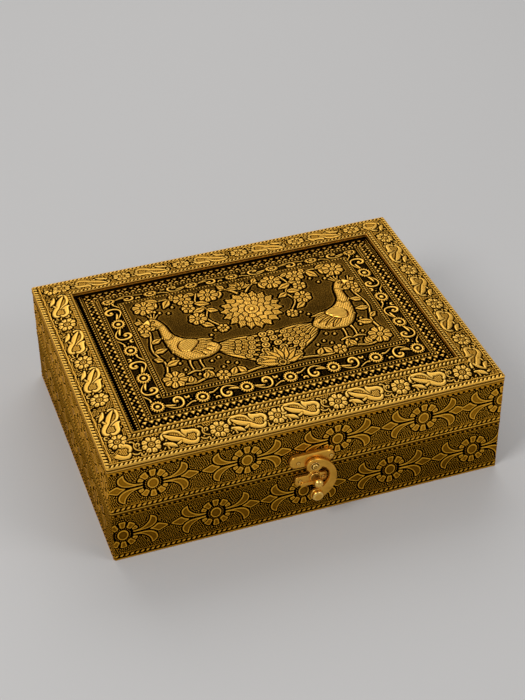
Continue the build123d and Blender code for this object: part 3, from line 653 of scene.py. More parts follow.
def picture(art):
    """Generic garden design of the lid's panel: a lotus medallion, two peacocks and flowering vines."""
    for side in (1, -1):
        def at(*points):
            return [(side * p[0], *p[1:]) for p in points]

        art.stroke(at(
            (3, 34, 0.9), (10, 41, 0.8), (19, 38, 0.75), (29, 42.5, 0.75), (40, 39, 0.7), (52, 43, 0.7),
            (66, 38.5, 0.6),
        ), 0.7, 0.9, cut=0.3)
        art.stroke(at(
            (29, 42.5, 0.75), (32, 33, 0.7), (27.5, 24, 0.65), (30, 14, 0.65), (24, 4, 0.6),
        ), 0.65, 0.9, cut=0.3)
        art.stroke(at(
            (72, -36, 0.9), (69, -22, 0.8), (73, -6, 0.75), (69.5, 12, 0.7), (72.5, 28, 0.6),
        ), 0.7, 0.9, cut=0.3)
        art.stroke(at(
            (0, -46, 0.8), (14, -44, 0.8), (30, -46, 0.8), (46, -42.5, 0.8), (58, -45, 0.7),
            (70, -42, 0.6),
        ), 0.7, 0.9, cut=0.3)
        for px, py, angle, length, width in (
            (8, 40, 165, 9, 5), (10, 41, 60, 7, 4.4), (14, 40.5, -75, 8, 4.6), (30, 42, 20, 7, 4),
            (34, 41, -20, 9, 5), (46, 41.5, 100, 6, 4), (48, 42, -55, 10, 5.4), (55, 42.5, 25, 9, 4.6),
            (57, 41.8, -60, 9, 5), (32.6, 34.5, -10, 9, 5), (33.2, 32.5, 200, 10, 5.4),
            (28.2, 25.5, -15, 9, 5), (28, 23.5, 205, 8, 4.6), (31.6, 16.5, -5, 10, 5.4),
            (35.5, 10.5, 215, 9, 4.8), (69, -24, 160, 10, 5.4), (69.4, -19, 40, 7, 4.2),
            (72.4, -9, 170, 9, 4.8), (71.5, 0.5, 155, 8, 4.4), (70, 9, 30, 6.5, 4),
            (70, 15, 165, 7, 4.2), (71.8, 23, 30, 5, 3.6), (6, -45, 55, 9, 5), (13, -44, 110, 6, 4),
            (24, -45.4, 60, 8, 4.6), (33, -45.4, 120, 8, 4.6), (44, -42.8, 60, 8, 4.6),
            (50, -43.4, 115, 7, 4.4), (56, -44.6, 55, 9, 5), (60, -44.4, 110, 7, 4.4),
        ):
            leaf(art, side * px, py, faced(angle, side), length, width)
        peacock(art, side * 44, -10, side)
        for px, py, r, count in (
            (22, 38.5, 7.2, 8), (39.5, 39.5, 6.2, 7), (66, 38.5, 7.4, 8), (68, -38, 7.8, 8), (36, 16, 6.2, 7),
            (23.5, 1.5, 4.0, 6), (38.5, -43.5, 4.6, 6), (71.6, 17, 4.4, 6), (38.5, 28.5, 4.6, 6),
        ):
            blossom(art, side * px, py, r, count, 0.3 * side)
        for px, py in (
            (29, 1), (25, -1.5), (33, -3), (61, -12), (63, -18), (60.5, -24), (27, -35), (32, -32.5),
            (36, -36), (41, -28), (36, -26), (59, -31), (62, 33), (48, 33.5), (52, 28), (3, 45), (64, 27),
            (46, -37), (52, -38), (62, -5),
        ):
            art.disc(side * px, py, 1.1, 0.8, 0.95, dish=0.3)
    medallion(art, 0, 14)
    lotus(art, 0, 38.5, 9.0, 5)
    lotus(art, 0, -44.0, 16.0, 7)


# Half sizes of the picture inside the panel's borders
PICTURE_X = 76.6
PICTURE_Y = 47.6


def panel():
    """Drawing of the lid's recessed panel about its own middle, before it is fitted to the recess."""
    art = Relief(-110, 110, -81, 81)
    picture(art)
    X, Y = np.meshgrid(art.x, art.y)
    inside = (np.abs(X) < PICTURE_X) & (np.abs(Y) < PICTURE_Y)
    art.gap[~inside] = OPEN
    art.top[~inside] = 0.0
    # Ring flowers and scrolls take turns along the four sides
    pitch_x, pitch_y = 28.4, 28.95
    row_x, row_y = 85.5, 57.9
    for i in range(-3, 4):
        for sign in (-1, 1):
            art.stamp(ROSETTE, pitch_x * i, sign * row_y)
            if i < 3:
                odd = bool(i % 2)
                art.stamp(SCROLL, pitch_x * (i + 0.5), sign * row_y, flip_x=odd, flip_y=odd ^ (sign > 0))
    for j in range(-1, 2):
        for sign in (-1, 1):
            art.stamp(ROSETTE, sign * row_x, pitch_y * j)
    for j in range(-2, 2):
        for sign in (-1, 1):
            odd = bool(j % 2)
            place = (sign * row_x, pitch_y * (j + 0.5))
            art.stamp(SCROLL, *place, flip_x=(sign > 0) ^ odd, flip_y=odd, turned=True)
    for outer, inner, wave in (
        ((115, 90), (99.6, 75.9), line(0.0)), ((105.4, 81.7), (104.2, 80.5), ovals(2.4, 0.0, 0.45)),
        ((102.7, 79.0), (101.1, 77.4), ovals(2.4, 0.0)), ((100.8, 77.1), (100.2, 76.5), line(0.55)),
        ((99.6, 75.9), (94.4, 69.0), triangles), ((94.2, 68.6), (93.5, 67.9), line(0.6)),
        ((93.5, 67.9), (91.5, 65.1), ovals(2.2, 0.14)), ((91.5, 65.1), (90.8, 64.4), line(0.6)),
        ((80.4, 51.5), (79.7, 50.8), line(0.6)), ((79.7, 50.8), (77.0, 48.1), ovals(2.1, 0.14)),
        ((77.0, 48.1), (76.3, 47.4), line(0.6)),
    ):
        art.border(outer, inner, wave)
    level = np.where(inside, 0.3, 0.1)
    groove = np.where(inside, 1.05, 0.8)
    return art.finish(21, groove, level, pitch=0.95, radius=0.36, peak=0.3, beads=0, start=1.2)


# Drawings of the sides: where the flowers stand and the rows above and below them, as (low, high, wave)
LID_FLOWERS = {
    "front": (-99.6, -41.5, 16.3, 73.0, 125.9),
    "right": (-86.0, -28.7, 28.6, 85.9),
    "back": (-121.0, -63.5, -6.0, 51.5, 109.0),
    "left": (-86.0, -28.7, 28.6, 85.9),
}
BASE_FLOWERS = {
    "front": (-120.2, -62.0, -5.3, 52.2, 108.6),
    "right": (-57.3, 0.0, 57.3),
    "back": (-101.0, -43.5, 14.0, 71.5, 129.0),
    "left": (-57.3, 0.0, 57.3),
}
LID_ROWS = (
    (66.9, 67.3, line(0.5)), (67.3, 69.7, blocks(3.6, 0.42)), (69.7, SIDE_TOP + 1, line(0.75)),
    (42.7, 43.5, pearls(1.25)), (41.5, 42.3, line(0.75)), (38.9, 41.4, rope(3.25, -0.22, 0.05)),
)
BASE_ROWS = (
    (34.8, BASE_TOP + 1, blocks(3.3, 0.5)), (33.9, 34.6, line(0.8)), (4.4, 5.1, line(0.8)),
    (1.8, 4.1, rope(3.25, -0.22, 0.05)), (BASE_BOTTOM - 1, 1.6, line(0.9)),
)


def side_band(half, low, high, flowers, middle, rows, seed):
    """Drawing of one side of the lid or the base, x from the middle of the side and y as the height."""
    art = Relief(-half - 1, half + 1, low - 1, high + 1)
    for x in flowers:
        art.stamp(FLOWER, x, middle)
    for row_low, row_high, wave in rows:
        art.row(row_low, row_high, wave)
    art.finish(seed)
    # The sheet fades to a plain folded edge at its two ends
    fold = 0.9
    share = (1 - smooth(np.minimum(art.x + half, half - art.x), fold * 0.4, fold))[None, :]
    art.height = art.height * (1 - share) + 0.75 * share
    art.shade = art.shade * (1 - share) + 0.62 * share
    return art


def frame_band(length, tulips, daisies, shift):
    """Drawing of one rail of the lid's frame, x from its left end and y inward from its outer edge."""
    art = Relief(-1, length + 1, -1.5, RAIL + 1.5)
    middle = 10.7 + shift
    for x in daisies:
        art.stamp(DAISY, x - 2.5, middle)
    for x in tulips:
        art.stamp(TULIP, x, middle, cut=0.3)
    art.row(-1.5, 0.2, line(0.8))
    art.row(0.2, 2.7 + shift * 0.2, rope(2.75, -0.3, 0.08))
    art.row(2.9 + shift * 0.7, 3.7 + shift * 0.7, line(0.75))
    art.row(17.6 + shift, 18.3 + shift, line(0.75))
    art.row(18.9 + shift * 0.6, 21.4, rope(2.65, -0.3, 0.08))
    art.row(21.5, RAIL + 1.5, line(0.7))
    return art.finish(11, groove=0.62, level=0.1, pitch=1.2, radius=0.52, peak=0.66, beads=0, start=0.95)


# Materials


def new_material(name, roughness=0.4, metallic=0.0):
    """New material with its shader and node tree."""
    material = bpy.data.materials.new(name)
    material.use_nodes = True
    shader = material.node_tree.nodes["Principled BSDF"]
    shader.inputs["Roughness"].default_value = roughness
    shader.inputs["Metallic"].default_value = metallic
    if metallic:
        shader.inputs["Specular Tint"].default_value = (1.0, 0.78, 0.52, 1)
    return material, shader


def add_node(material, kind, **inputs):
    """New node with some of its inputs set."""
    node = material.node_tree.nodes.new(kind)
    for key, value in inputs.items():
        name = key.replace("_", " ")
        if name in node.inputs:
            node.inputs[name].default_value = value
        else:
            setattr(node, key, value)
    return node


def join(material, a, b):
    """Link between an output and an input."""
    material.node_tree.links.new(a, b)


def weighted(material, source, factor, rest):
    """Source times a factor, plus the rest."""
    node = add_node(material, "ShaderNodeMath", operation="MULTIPLY_ADD")
    join(material, source, node.inputs[0])
    node.inputs[1].default_value = factor
    join(material, rest, node.inputs[2])
    return node.outputs[0]


def ramp(material, source, stops):
    """Colour ramp over (place, colour) stops."""
    node = add_node(material, "ShaderNodeValToRGB")
    elements = node.color_ramp.elements
    while len(elements) < len(stops):
        elements.new(0.5)
    for element, (place, colour) in zip(elements, stops):
        element.position = place
        element.color = (*colour, 1)
    join(material, source, node.inputs["Fac"])
    return node.outputs["Color"]


def ranged(material, source, low, high):
    """Maps 0..1 to another range."""
    node = add_node(material, "ShaderNodeMapRange", To_Min=low, To_Max=high)
    join(material, source, node.inputs["Value"])
    return node.outputs["Result"]


def noise(material, scale, detail, stretch=(1, 1, 1)):
    """Noise in the object's own space."""
    where = add_node(material, "ShaderNodeTexCoord").outputs["Object"]
    if stretch != (1, 1, 1):
        mapping = add_node(material, "ShaderNodeMapping", Scale=stretch)
        join(material, where, mapping.inputs["Vector"])
        where = mapping.outputs["Vector"]
    node = add_node(material, "ShaderNodeTexNoise", Scale=scale, Detail=detail)
    join(material, where, node.inputs["Vector"])
    return node.outputs["Fac"]


def bump(material, shader, source, strength, distance):
    """Fine surface texture."""
    node = add_node(material, "ShaderNodeBump", Strength=strength, Distance=distance)
    join(material, source, node.inputs["Height"])
    join(material, node.outputs["Normal"], shader.inputs["Normal"])


def gold_relief(name, stops, smoothness):
    """Antique gold that is bright on raised parts and black in the hollows."""
    material, shader = new_material(name, metallic=1.0)
    # The shade attribute holds the reliefs' patina, and on the rails, rims, turned pieces and screws also
    # painted highlights and shade.
    shade = add_node(material, "ShaderNodeAttribute", attribute_name="shade").outputs["Fac"]
    wide = noise(material, 45, 4)
    fine = noise(material, 900, 2)
    shade_and_stains = weighted(material, fine, 0.12, weighted(material, wide, 0.16, shade))
    centred = add_node(material, "ShaderNodeMath", operation="SUBTRACT")
    join(material, shade_and_stains, centred.inputs[0])
    centred.inputs[1].default_value = 0.14
    patina = centred.outputs[0]
    join(material, ramp(material, patina, stops), shader.inputs["Base Color"])
    join(material, ranged(material, patina, 0.6, smoothness), shader.inputs["Roughness"])
    bare = ramp(material, patina, [(0.22, (0, 0, 0)), (0.42, (1, 1, 1))])
    join(material, bare, shader.inputs["Metallic"])
    shader.inputs["Specular IOR Level"].default_value = 0.0
    bump(material, shader, fine, 0.25, 0.00005)
    return material


def smooth_gold(name, dark, bright, roughness, metallic=1.0):
    """Satin cast gold with slight stains, fine scratches and creases darkened with painted shade."""
    material, shader = new_material(name, metallic=metallic)
    wide = noise(material, 120, 4)
    # Pointiness darkens the creases towards black as painted shade and brightens the edges as wear.
    crease = add_node(material, "ShaderNodeNewGeometry").outputs["Pointiness"]
    total = weighted(material, crease, 2.6, ranged(material, wide, -0.9, -0.5))
    black = tuple(0.12 * part for part in dark)
    worn = tuple(min(1.0, 1.12 * part + 0.03) for part in bright)
    colour = ramp(material, total, [(0.3, black), (0.5, dark), (0.66, bright), (0.86, worn)])
    join(material, colour, shader.inputs["Base Color"])
    fine = noise(material, 700, 3, (1, 1, 4))
    join(material, ranged(material, fine, roughness - 0.06, roughness + 0.1), shader.inputs["Roughness"])
    bump(material, shader, fine, 0.15, 0.00004)
    return material


def soft_material(name, dark, light, sheen, sheen_colour, scale, depth):
    """Cloth with a fine pile, crushed patches and a sheen."""
    material, shader = new_material(name, roughness=0.9)
    patches = noise(material, 38, 3)
    pile = noise(material, scale, 3, (1, 1, 0.6))
    both = weighted(material, pile, 0.55, ranged(material, patches, 0.0, 0.45))
    join(material, ramp(material, both, [(0.25, dark), (0.75, light)]), shader.inputs["Base Color"])
    shader.inputs["Sheen Weight"].default_value = sheen
    shader.inputs["Sheen Roughness"].default_value = 0.35
    shader.inputs["Sheen Tint"].default_value = (*sheen_colour, 1)
    bump(material, shader, pile, 0.6, depth)
    return material


TOP_GOLD = gold_relief("antique_gold_top", [
    (0.1, (0.004, 0.002, 0.0)), (0.26, (0.085, 0.036, 0.003)), (0.44, (0.42, 0.2, 0.02)),
    (0.66, (0.82, 0.43, 0.055)), (0.9, (1.0, 0.62, 0.13)),
], 0.34)
PANEL_GOLD = gold_relief("antique_gold_panel", [
    (0.12, (0.0, 0.0, 0.0)), (0.25, (0.006, 0.003, 0.0005)), (0.4, (0.09, 0.042, 0.005)),
    (0.64, (0.58, 0.285, 0.03)), (0.92, (1.0, 0.57, 0.1)),
], 0.3)
# The lid's sides take a darker copy of the frame's gold, as painted shade on faces that look sideways.
SHADED_SIDE_GOLD = gold_relief("antique_gold_side_shaded", [
    (0.12, (0.0, 0.0, 0.0)), (0.26, (0.008, 0.0035, 0.0)), (0.4, (0.14, 0.06, 0.002)),
    (0.6, (0.62, 0.28, 0.014)), (0.88, (1.0, 0.54, 0.055)),
], 0.36)
# The base's sides take a darker copy still, more painted shade.
SHADED_BASE_GOLD = gold_relief("antique_gold_base_shaded", [
    (0.14, (0.0, 0.0, 0.0)), (0.28, (0.006, 0.0025, 0.0)), (0.42, (0.09, 0.038, 0.001)),
    (0.62, (0.4, 0.175, 0.007)), (0.92, (0.88, 0.46, 0.036)),
], 0.36)
CAST_GOLD = smooth_gold("antique_gold_cast", (0.58, 0.29, 0.032), (0.84, 0.44, 0.06), 0.3, 0.9)
TURNED_GOLD = gold_relief("antique_gold_turned", [
    (0.1, (0.03, 0.014, 0.001)), (0.35, (0.32, 0.16, 0.02)), (0.65, (0.8, 0.44, 0.07)),
    (0.95, (1.0, 0.66, 0.18)),
], 0.26)
HINGE_BRASS = smooth_gold("hinge_brass", (0.36, 0.22, 0.06), (0.52, 0.33, 0.1), 0.36)
RIM_GOLD = gold_relief("antique_gold_rim", [
    (0.1, (0.0, 0.0, 0.0)), (0.3, (0.03, 0.014, 0.001)), (0.5, (0.3, 0.135, 0.008)),
    (0.85, (1.0, 0.56, 0.06)),
], 0.28)
SCREW_BRASS = gold_relief("screw_brass", [
    (0.1, (0.01, 0.006, 0.002)), (0.4, (0.4, 0.27, 0.1)), (0.9, (0.72, 0.52, 0.22)),
], 0.3)
VELVET = soft_material(
    "maroon_velvet", (0.07, 0.002, 0.008), (0.17, 0.008, 0.02), 0.7, (0.9, 0.25, 0.3), 2300, 0.00025,
)
FELT = soft_material(
    "black_felt", (0.008, 0.008, 0.009), (0.035, 0.034, 0.033), 0.25, (0.5, 0.5, 0.5), 1300, 0.0003,
)
FIBREBOARD = soft_material(
    "fibreboard", (0.3, 0.19, 0.1), (0.48, 0.33, 0.19), 0.0, (1.0, 1.0, 1.0), 700, 0.0001,
)


# Meshes


def add_piece(name, mesh, material, body, nodes):
    """Puts a mesh into the scene as a piece that rides a body, in place of the CAD nodes that it replaces."""
    mesh.materials.append(material)
    piece = bpy.data.objects.new(name, mesh)
    bpy.context.scene.collection.objects.link(piece)
    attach(piece, body)
    if nodes:
        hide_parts(*nodes)
    return piece


def smooth_shaded(mesh):
    """Shades every face of a mesh smoothly."""
    mesh.polygons.foreach_set("use_smooth", np.ones(len(mesh.polygons), bool))


def toned(mesh, shade):
    """Gives each vertex the patina, and on some pieces painted highlights and shade, that the gold materials
    read.
    """
    values = np.asarray(shade, np.float32).ravel()
    mesh.attributes.new("shade", "FLOAT", "POINT").data.foreach_set("value", values)


def sheet_piece(name, points, shade, material, body, nodes):
    """Piece from a grid of points in millimetres, with the patina and any painted light and shade of each
    point.
    """
    rows, columns = points.shape[:2]
    mesh = bpy.data.meshes.new(name)
    mesh.vertices.add(rows * columns)
    mesh.vertices.foreach_set("co", (points.reshape(-1, 3) * MM).astype(np.float32).ravel())
    base = (np.arange(rows - 1)[:, None] * columns + np.arange(columns - 1)).ravel()
    quads = np.column_stack([base, base + 1, base + columns + 1, base + columns])
    mesh.loops.add(quads.size)
    mesh.loops.foreach_set("vertex_index", quads.ravel().astype(np.int32))
    mesh.polygons.add(len(quads))
    mesh.polygons.foreach_set("loop_start", np.arange(0, quads.size, 4, dtype=np.int32))
    smooth_shaded(mesh)
    mesh.update(calc_edges=True)
    toned(mesh, shade)
    return add_piece(name, mesh, material, body, nodes)


def side_path(side, s):
    """Point and outward direction of a side at a distance from its middle, round half of each corner."""
    (ox, oy), (ax, ay), (nx, ny), half = SIDES[side]
    flat = half - CORNER
    turn = np.clip((np.abs(s) - flat) / CORNER, 0, math.pi / 4)
    sign = np.sign(s)
    along = np.clip(s, -flat, flat) + sign * CORNER * np.sin(turn)
    inward = CORNER * (1 - np.cos(turn))
    x = ox + ax * along - nx * inward
    y = oy + ay * along - ny * inward
    dx = nx * np.cos(turn) + ax * sign * np.sin(turn)
    dy = ny * np.cos(turn) + ay * sign * np.sin(turn)
    return x, y, dx, dy


def side_piece(body, side, art, low, high, material):
    """Embossed sheet of one side, with its upper and lower edges turned in."""
    relief_depth = 0.75
    half = SIDES[side][3] - CORNER + CORNER * math.pi / 4
    z = steps(low, high)
    S, Z = np.meshgrid(steps(-half, half), np.concatenate([z[:1], z, z[-1:]]))
    x, y, dx, dy = side_path(side, S)
    sink = relief_depth * (1 - art.at(art.height, S, Z))
    sink[[0, -1]] = 1.0
    points = np.stack([x - dx * sink, y - dy * sink, Z], -1)
    shade = art.at(art.shade, S, Z)
    name, node = f"{body}_{side}_relief", f"{body}_{side}_sheet"
    sheet_piece(name, points, shade, material, body, [node])


for side, (_, _, _, half) in SIDES.items():
    art = side_band(half, SIDE_BOTTOM, SIDE_TOP, LID_FLOWERS[side], 55.0, LID_ROWS, 5)
    side_piece("lid", side, art, SIDE_BOTTOM, SIDE_TOP, SHADED_SIDE_GOLD)
    art = side_band(half, BASE_BOTTOM, BASE_TOP, BASE_FLOWERS[side], 19.3, BASE_ROWS, 9)
    side_piece("base", side, art, BASE_BOTTOM, BASE_TOP, SHADED_BASE_GOLD)


def mitred(side, t, u):
    """Places along one side between its mitres: columns at shares t from -1 to 1, rows at depths u inward."""
    half = SIDES[side][3]
    radius = np.clip(CORNER - u, 0, None)[:, None]
    flat = (half - np.maximum(CORNER, u))[:, None]
    run = (flat + radius * math.pi / 4) * t
    turn = np.clip((np.abs(run) - flat) / np.maximum(radius, 1e-6), 0, math.pi / 4) * (radius > 0)
    along = np.clip(run, -flat, flat) + np.sign(run) * radius * np.sin(turn)
    inward = u[:, None] + radius * (1 - np.cos(turn))
    return along, inward


def placed(side, along, inward, z):
    """Points in space from places along a side, depths inward and heights."""
    (ox, oy), (ax, ay), (nx, ny), _ = SIDES[side]
    x = ox + ax * along - nx * inward
    y = oy + ay * along - ny * inward
    return np.stack([x, y, np.broadcast_to(z, along.shape)], -1)


def rail_profile():
    """Section of the lid's frame from outside to inside, as depth, height, place on the slope and tone; the
    tone holds patina, painted highlights on the rolls and the lip, and painted shade at the lip's foot.
    """
    rise = LIP_TOP - EDGE_TOP
    slope = math.hypot(RAIL, rise)
    profile = [(0.9, SIDE_TOP, 0, 0.1), (0.0, SIDE_TOP + 0.15, 0, 0.3)]
    # Painted highlight: the first roll is brightest along its outermost line.
    for k in range(7):
        a = math.pi * k / 6
        z = SIDE_TOP + 0.95 - 0.75 * math.cos(a)
        profile.append((0.28 - 0.28 * math.sin(a), z, 0, 0.2 + 0.55 * math.sin(a) ** 2))
    profile.append((0.42, SIDE_TOP + 1.85, 0, 0.1))
    # Painted light: the second roll is bright from its crown up and dimmer below it, as if lit from above.
    for k in range(9):
        a = math.radians(-78 + 150 * k / 8)
        z = SIDE_TOP + 2.78 + 0.82 * math.sin(a)
        profile.append((0.85 - 0.85 * math.cos(a), z, 0, 0.3 + 0.42 * smooth(k, 1, 4)))
    for v in steps(0.9, slope - 0.25):
        profile.append((RAIL * v / slope, EDGE_TOP + rise * v / slope, v, 0))
    # Painted highlight on the lip's rounded top edge.
    for angle in (20, 45, 70):
        a = math.radians(angle)
        profile.append((RAIL - 0.3 + 0.3 * math.sin(a), LIP_TOP - 0.3 + 0.3 * math.cos(a), 0, 0.8))
    # Inner face of the lip: a bead with a painted highlight, then painted shade that goes black towards its
    # foot.
    for drop, tone in (
        (0.4, 0.6), (0.75, 0.35), (1.1, 0.25), (1.4, 0.7), (1.75, 0.9), (2.1, 0.6), (2.4, 0.1), (2.9, 0.02),
        (3.4, 0.0), (3.9, 0.0),
    ):
        profile.append((RAIL - 0.18 * (1.2 < drop < 2.3), LIP_TOP - drop, 0, tone))
    return np.array(profile)


def rail_piece(side, art):
    """Mitred rail of the lid's frame: outer face, rolled edge, slope, lip and inner face."""
    relief_depth = 0.6
    u, z, v, plain = rail_profile().T
    half = SIDES[side][3]
    along, inward = mitred(side, steps(-half, half) / half, u)
    V = np.broadcast_to(v[:, None], along.shape)
    lean = math.atan2(LIP_TOP - EDGE_TOP, RAIL)
    sink = np.where(V > 0, relief_depth * (1 - art.at(art.height, along + half, V)), 0)
    # Off the relief, the profile's tone paints highlights on the rolls and the lip and shade at the lip's
    # foot.
    shade = np.where(V > 0, art.at(art.shade, along + half, V), plain[:, None])
    points = placed(side, along, inward + sink * math.sin(lean), z[:, None] - sink * math.cos(lean))
    name, node = f"frame_{side}_relief", f"frame_{side}_sheet"
    sheet_piece(name, points, shade, TOP_GOLD, "lid", [node])


# Places of the tulips and daisies along each rail, and how far its drawing is shifted inward
RAILS = {
    "front": ((6.9, 48.3, 90.0, 123.6, 165.0, 206.4, 247.8), (30.3, 72.1, 108.6, 147.1, 188.1, 229.3), 0.0),
    "left": ((31.0, 72.0, 113.0, 155.7), (10.0, 51.4, 93.6, 132.9, 174.0), 1.7),
    "right": ((20.7, 62.0, 103.4, 144.8, 186.2), (41.3, 82.7, 124.1, 165.4), 0.0),
    "back": ((8.0, 49.4, 90.8, 132.2, 173.6, 215.0), (28.7, 70.1, 111.5, 152.9, 194.3, 235.7), 0.0),
}
for side, (tulips, daisies, shift) in RAILS.items():
    rail_piece(side, frame_band(2 * SIDES[side][3], tulips, daisies, shift))


# Raised field of the panel: its middle, its half sizes, and the width and height of its slope
FIELD_X, FIELD_Y = 2.1, 5.6
FIELD_HALF_X, FIELD_HALF_Y = 71.4, 41.1
FIELD_SLOPE = 18
FIELD_RISE = 1.2
# Where the panel is cut into quarters
SPLIT = 2.0
# Places from front to back on the panel, each with the place in the drawing that belongs there
PANEL_ROWS = (
    (-74.1, -79.2), (-42.5, -47.6), (54.7, 47.6), (56.0, 49.4), (57.3, 51.2), (62.0, 57.9), (65.2, 64.7),
    (66.4, 66.6), (67.6, 68.2), (68.2, 69.0), (73.2, 75.9), (74.4, 77.2),
)


def panel_pieces():
    """Embossed panel in four quarters over the raised field."""
    art = panel()
    half_x, half_y = HALF_X - RAIL + 0.3, HALF_Y - RAIL + 0.3
    for row, y_low, y_high in (("near", -half_y, SPLIT), ("far", SPLIT, half_y)):
        for column, x_low, x_high in (("left", -half_x, SPLIT), ("right", SPLIT, half_x)):
            X, Y = np.meshgrid(steps(x_low, x_high), steps(y_low, y_high))
            outside_x = (np.abs(X - FIELD_X) - FIELD_HALF_X) / FIELD_SLOPE
            outside_y = (np.abs(Y - FIELD_Y) - FIELD_HALF_Y) / FIELD_SLOPE
            field = FIELD_RISE * (1 - smooth(np.maximum(outside_x, outside_y), 0, 1))
            U, V = X - FIELD_X, np.interp(Y, *np.array(PANEL_ROWS).T)
            h = art.at(art.height, U, V)
            inner = (np.abs(U) < 76.4) & (np.abs(V) < 47.5)
            Z = PANEL_TOP + field + np.where(inner, 1.15 * (h - 1) + 0.35, 0.7 * (h - 1))
            points = np.stack([X, Y, Z], -1)
            shade = art.at(art.shade, U, V)
            name = f"panel_relief_{row}_{column}"
            sheet_piece(name, points, shade, PANEL_GOLD, "lid", ["panel_sheet"])


panel_pieces()


# Rims, with a notch at each hinge
leaf_low, leaf_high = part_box("hinge_right_base_leaf")
HINGE_X = (leaf_low.x + leaf_high.x) / 2 / MM
HINGE_HALF = (leaf_high.x - leaf_low.x) / 2 / MM + 0.1
HINGE_REACH = HALF_Y - leaf_low.y / MM + 0.1
NOTCH_EDGES = np.array([
    hinge * HINGE_X + end * HINGE_HALF + gap
    for hinge in (-1, 1) for end in (-1, 1) for gap in (0.0, end * 0.1)
])


def upright(side, t, u):
    """Shares along a side that give columns at right angles to it, apart from those near the corners."""
    half = SIDES[side][3]
    fan = 16
    limit = half - fan
    ends = (half - np.maximum(CORNER, u) + np.clip(CORNER - u, 0, None) * math.pi / 4)[:, None]
    x = t * half
    fanned = np.sign(x) * (limit + (np.abs(x) - limit) / fan * (ends - limit))
    return np.where(np.abs(x) <= limit, x, fanned) / ends


def rim_piece(name, body, node, profile, lift=None):
    """Folded strip round one rim from (depth, height, shade) points, notched or lifted at the hinges; the
    shade along the section includes painted highlights and painted shade.
    """
    edge_depth = 1.05
    u, z, shade = np.array(profile + profile[:1]).T
    loops = []
    for side in SIDES:
        half = SIDES[side][3]
        x = steps(-half, half, 1.2)
        if side == "back":
            x = np.unique(np.concatenate([x, NOTCH_EDGES]))
        along, inward = mitred(side, upright(side, x / half, u), u)
        height = np.broadcast_to(z[:, None], along.shape).copy()
        if side == "back":
            cut = np.abs(np.abs(along) - HINGE_X) < HINGE_HALF + 0.05
            if lift:
                cut &= height < lift
                height = np.where(cut & (inward < edge_depth), lift, height)
                cut &= inward >= edge_depth
            inward = np.where(cut, np.maximum(inward, HINGE_REACH), inward)
        loops.append(placed(side, along, inward, height))
    points = np.concatenate(loops, axis=1)
    shade = np.repeat(shade[:, None], points.shape[1], 1)
    sheet_piece(name, points, shade, RIM_GOLD, body, [node])


# Base rim: the shade is darkest at the lower edge of the outer face and lightest on the top flange.
rim_piece("base_rim_fold", "base", "base_rim_strip", [
    (0.25, RIM_LOW, 0.1), (0.05, RIM_LOW + 0.12, 0.25), (0.0, RIM_LOW + 0.3, 0.4),
    (0.15, RIM_TOP - 0.12, 0.3), (0.5, RIM_TOP, 0.6), (INNER_FACE - 0.3, RIM_TOP, 0.6),
    (INNER_FACE, RIM_TOP - 0.2, 0.5), (INNER_FACE, RIM_LOW, 0.4),
])
# Lid rim: a painted highlight on the bead's crown, and painted shade in the grooves beside it and where the
# strip tucks under the band above.
rim_piece("lid_rim_fold", "lid", "lid_rim_strip", [
    (0.9, BEAD_TOP, 0.1), (0.6, BEAD_TOP - 0.05, 0.1), (0.55, BEAD_TOP - 0.45, 0.1),
    (0.15, BEAD_TOP - 0.65, 0.6), (0.0, BEAD_TOP - 0.9, 1.0), (0.12, BEAD_TOP - 1.15, 0.6),
    (0.4, BEAD_TOP - 1.35, 0.1), (0.4, LID_RIM + 0.1, 0.2), (0.5, LID_RIM, 0.6),
    (INNER_FACE - 0.2, LID_RIM, 0.6), (INNER_FACE, LID_RIM + 0.2, 0.5), (INNER_FACE, LID_RIM + 0.6, 0.4),
    (1.0, LID_RIM + 0.6, 0.3),
], lift=LID_RIM + 0.8)


# Latch: cast pieces with softened edges and turned pieces


def cast_piece(name, node, body):
    """Copy of a solid with the soft edges of a casting."""
    rough = bpy.data.objects.new(name + "_rough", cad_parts[node].data.copy())
    bpy.context.scene.collection.objects.link(rough)
    remesh = rough.modifiers.new("remesh", "REMESH")
    remesh.mode = "VOXEL"
    remesh.voxel_size = 0.16 * MM
    soften = rough.modifiers.new("soften", "SMOOTH")
    soften.factor = 0.5
    soften.iterations = 14
    mesh = bpy.data.meshes.new_from_object(rough.evaluated_get(bpy.context.evaluated_depsgraph_get()))
    bpy.data.objects.remove(rough)
    mesh.name = name
    mesh.materials.clear()
    smooth_shaded(mesh)
    add_piece(name, mesh, CAST_GOLD, body, [node])


def tube_faces(first, rings, sides):
    """Faces between rings of vertices that follow one another from a first vertex on."""
    faces = []
    for near in range(first, first + (rings - 1) * sides, sides):
        for i in range(sides):
            k = (i + 1) % sides
            faces.append((near + i, near + k, near + sides + k, near + sides + i))
    return faces


def turned_piece(name, places, profile, body, node, sides=48):
    """Round pieces on the front from (radius, distance out, tone) points; each place is (x, z). The tone is
    painted light and shade: dark at the foot and in grooves, bright on crowns and rims.
    """
    r, out, tone = spread(profile, 0.12).T
    angles = np.linspace(0, 2 * math.pi, sides, endpoint=False)
    verts, faces = [], []
    for x, z in places:
        faces += tube_faces(len(verts), len(r), sides)
        for radius, away in zip(r, out):
            y = (-HALF_Y - away) * MM
            verts += [((x + radius * math.cos(a)) * MM, y, (z + radius * math.sin(a)) * MM) for a in angles]
    mesh = bpy.data.meshes.new(name)
    mesh.from_pydata(verts, [], faces)
    smooth_shaded(mesh)
    toned(mesh, np.tile(np.repeat(tone, sides), len(places)))
    add_piece(name, mesh, TURNED_GOLD, body, [node])


def middle(node):
    """Place of a node on the front, as (x, z) in millimetres."""
    low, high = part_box(node)
    return (low.x + high.x) / 2 / MM, (low.z + high.z) / 2 / MM


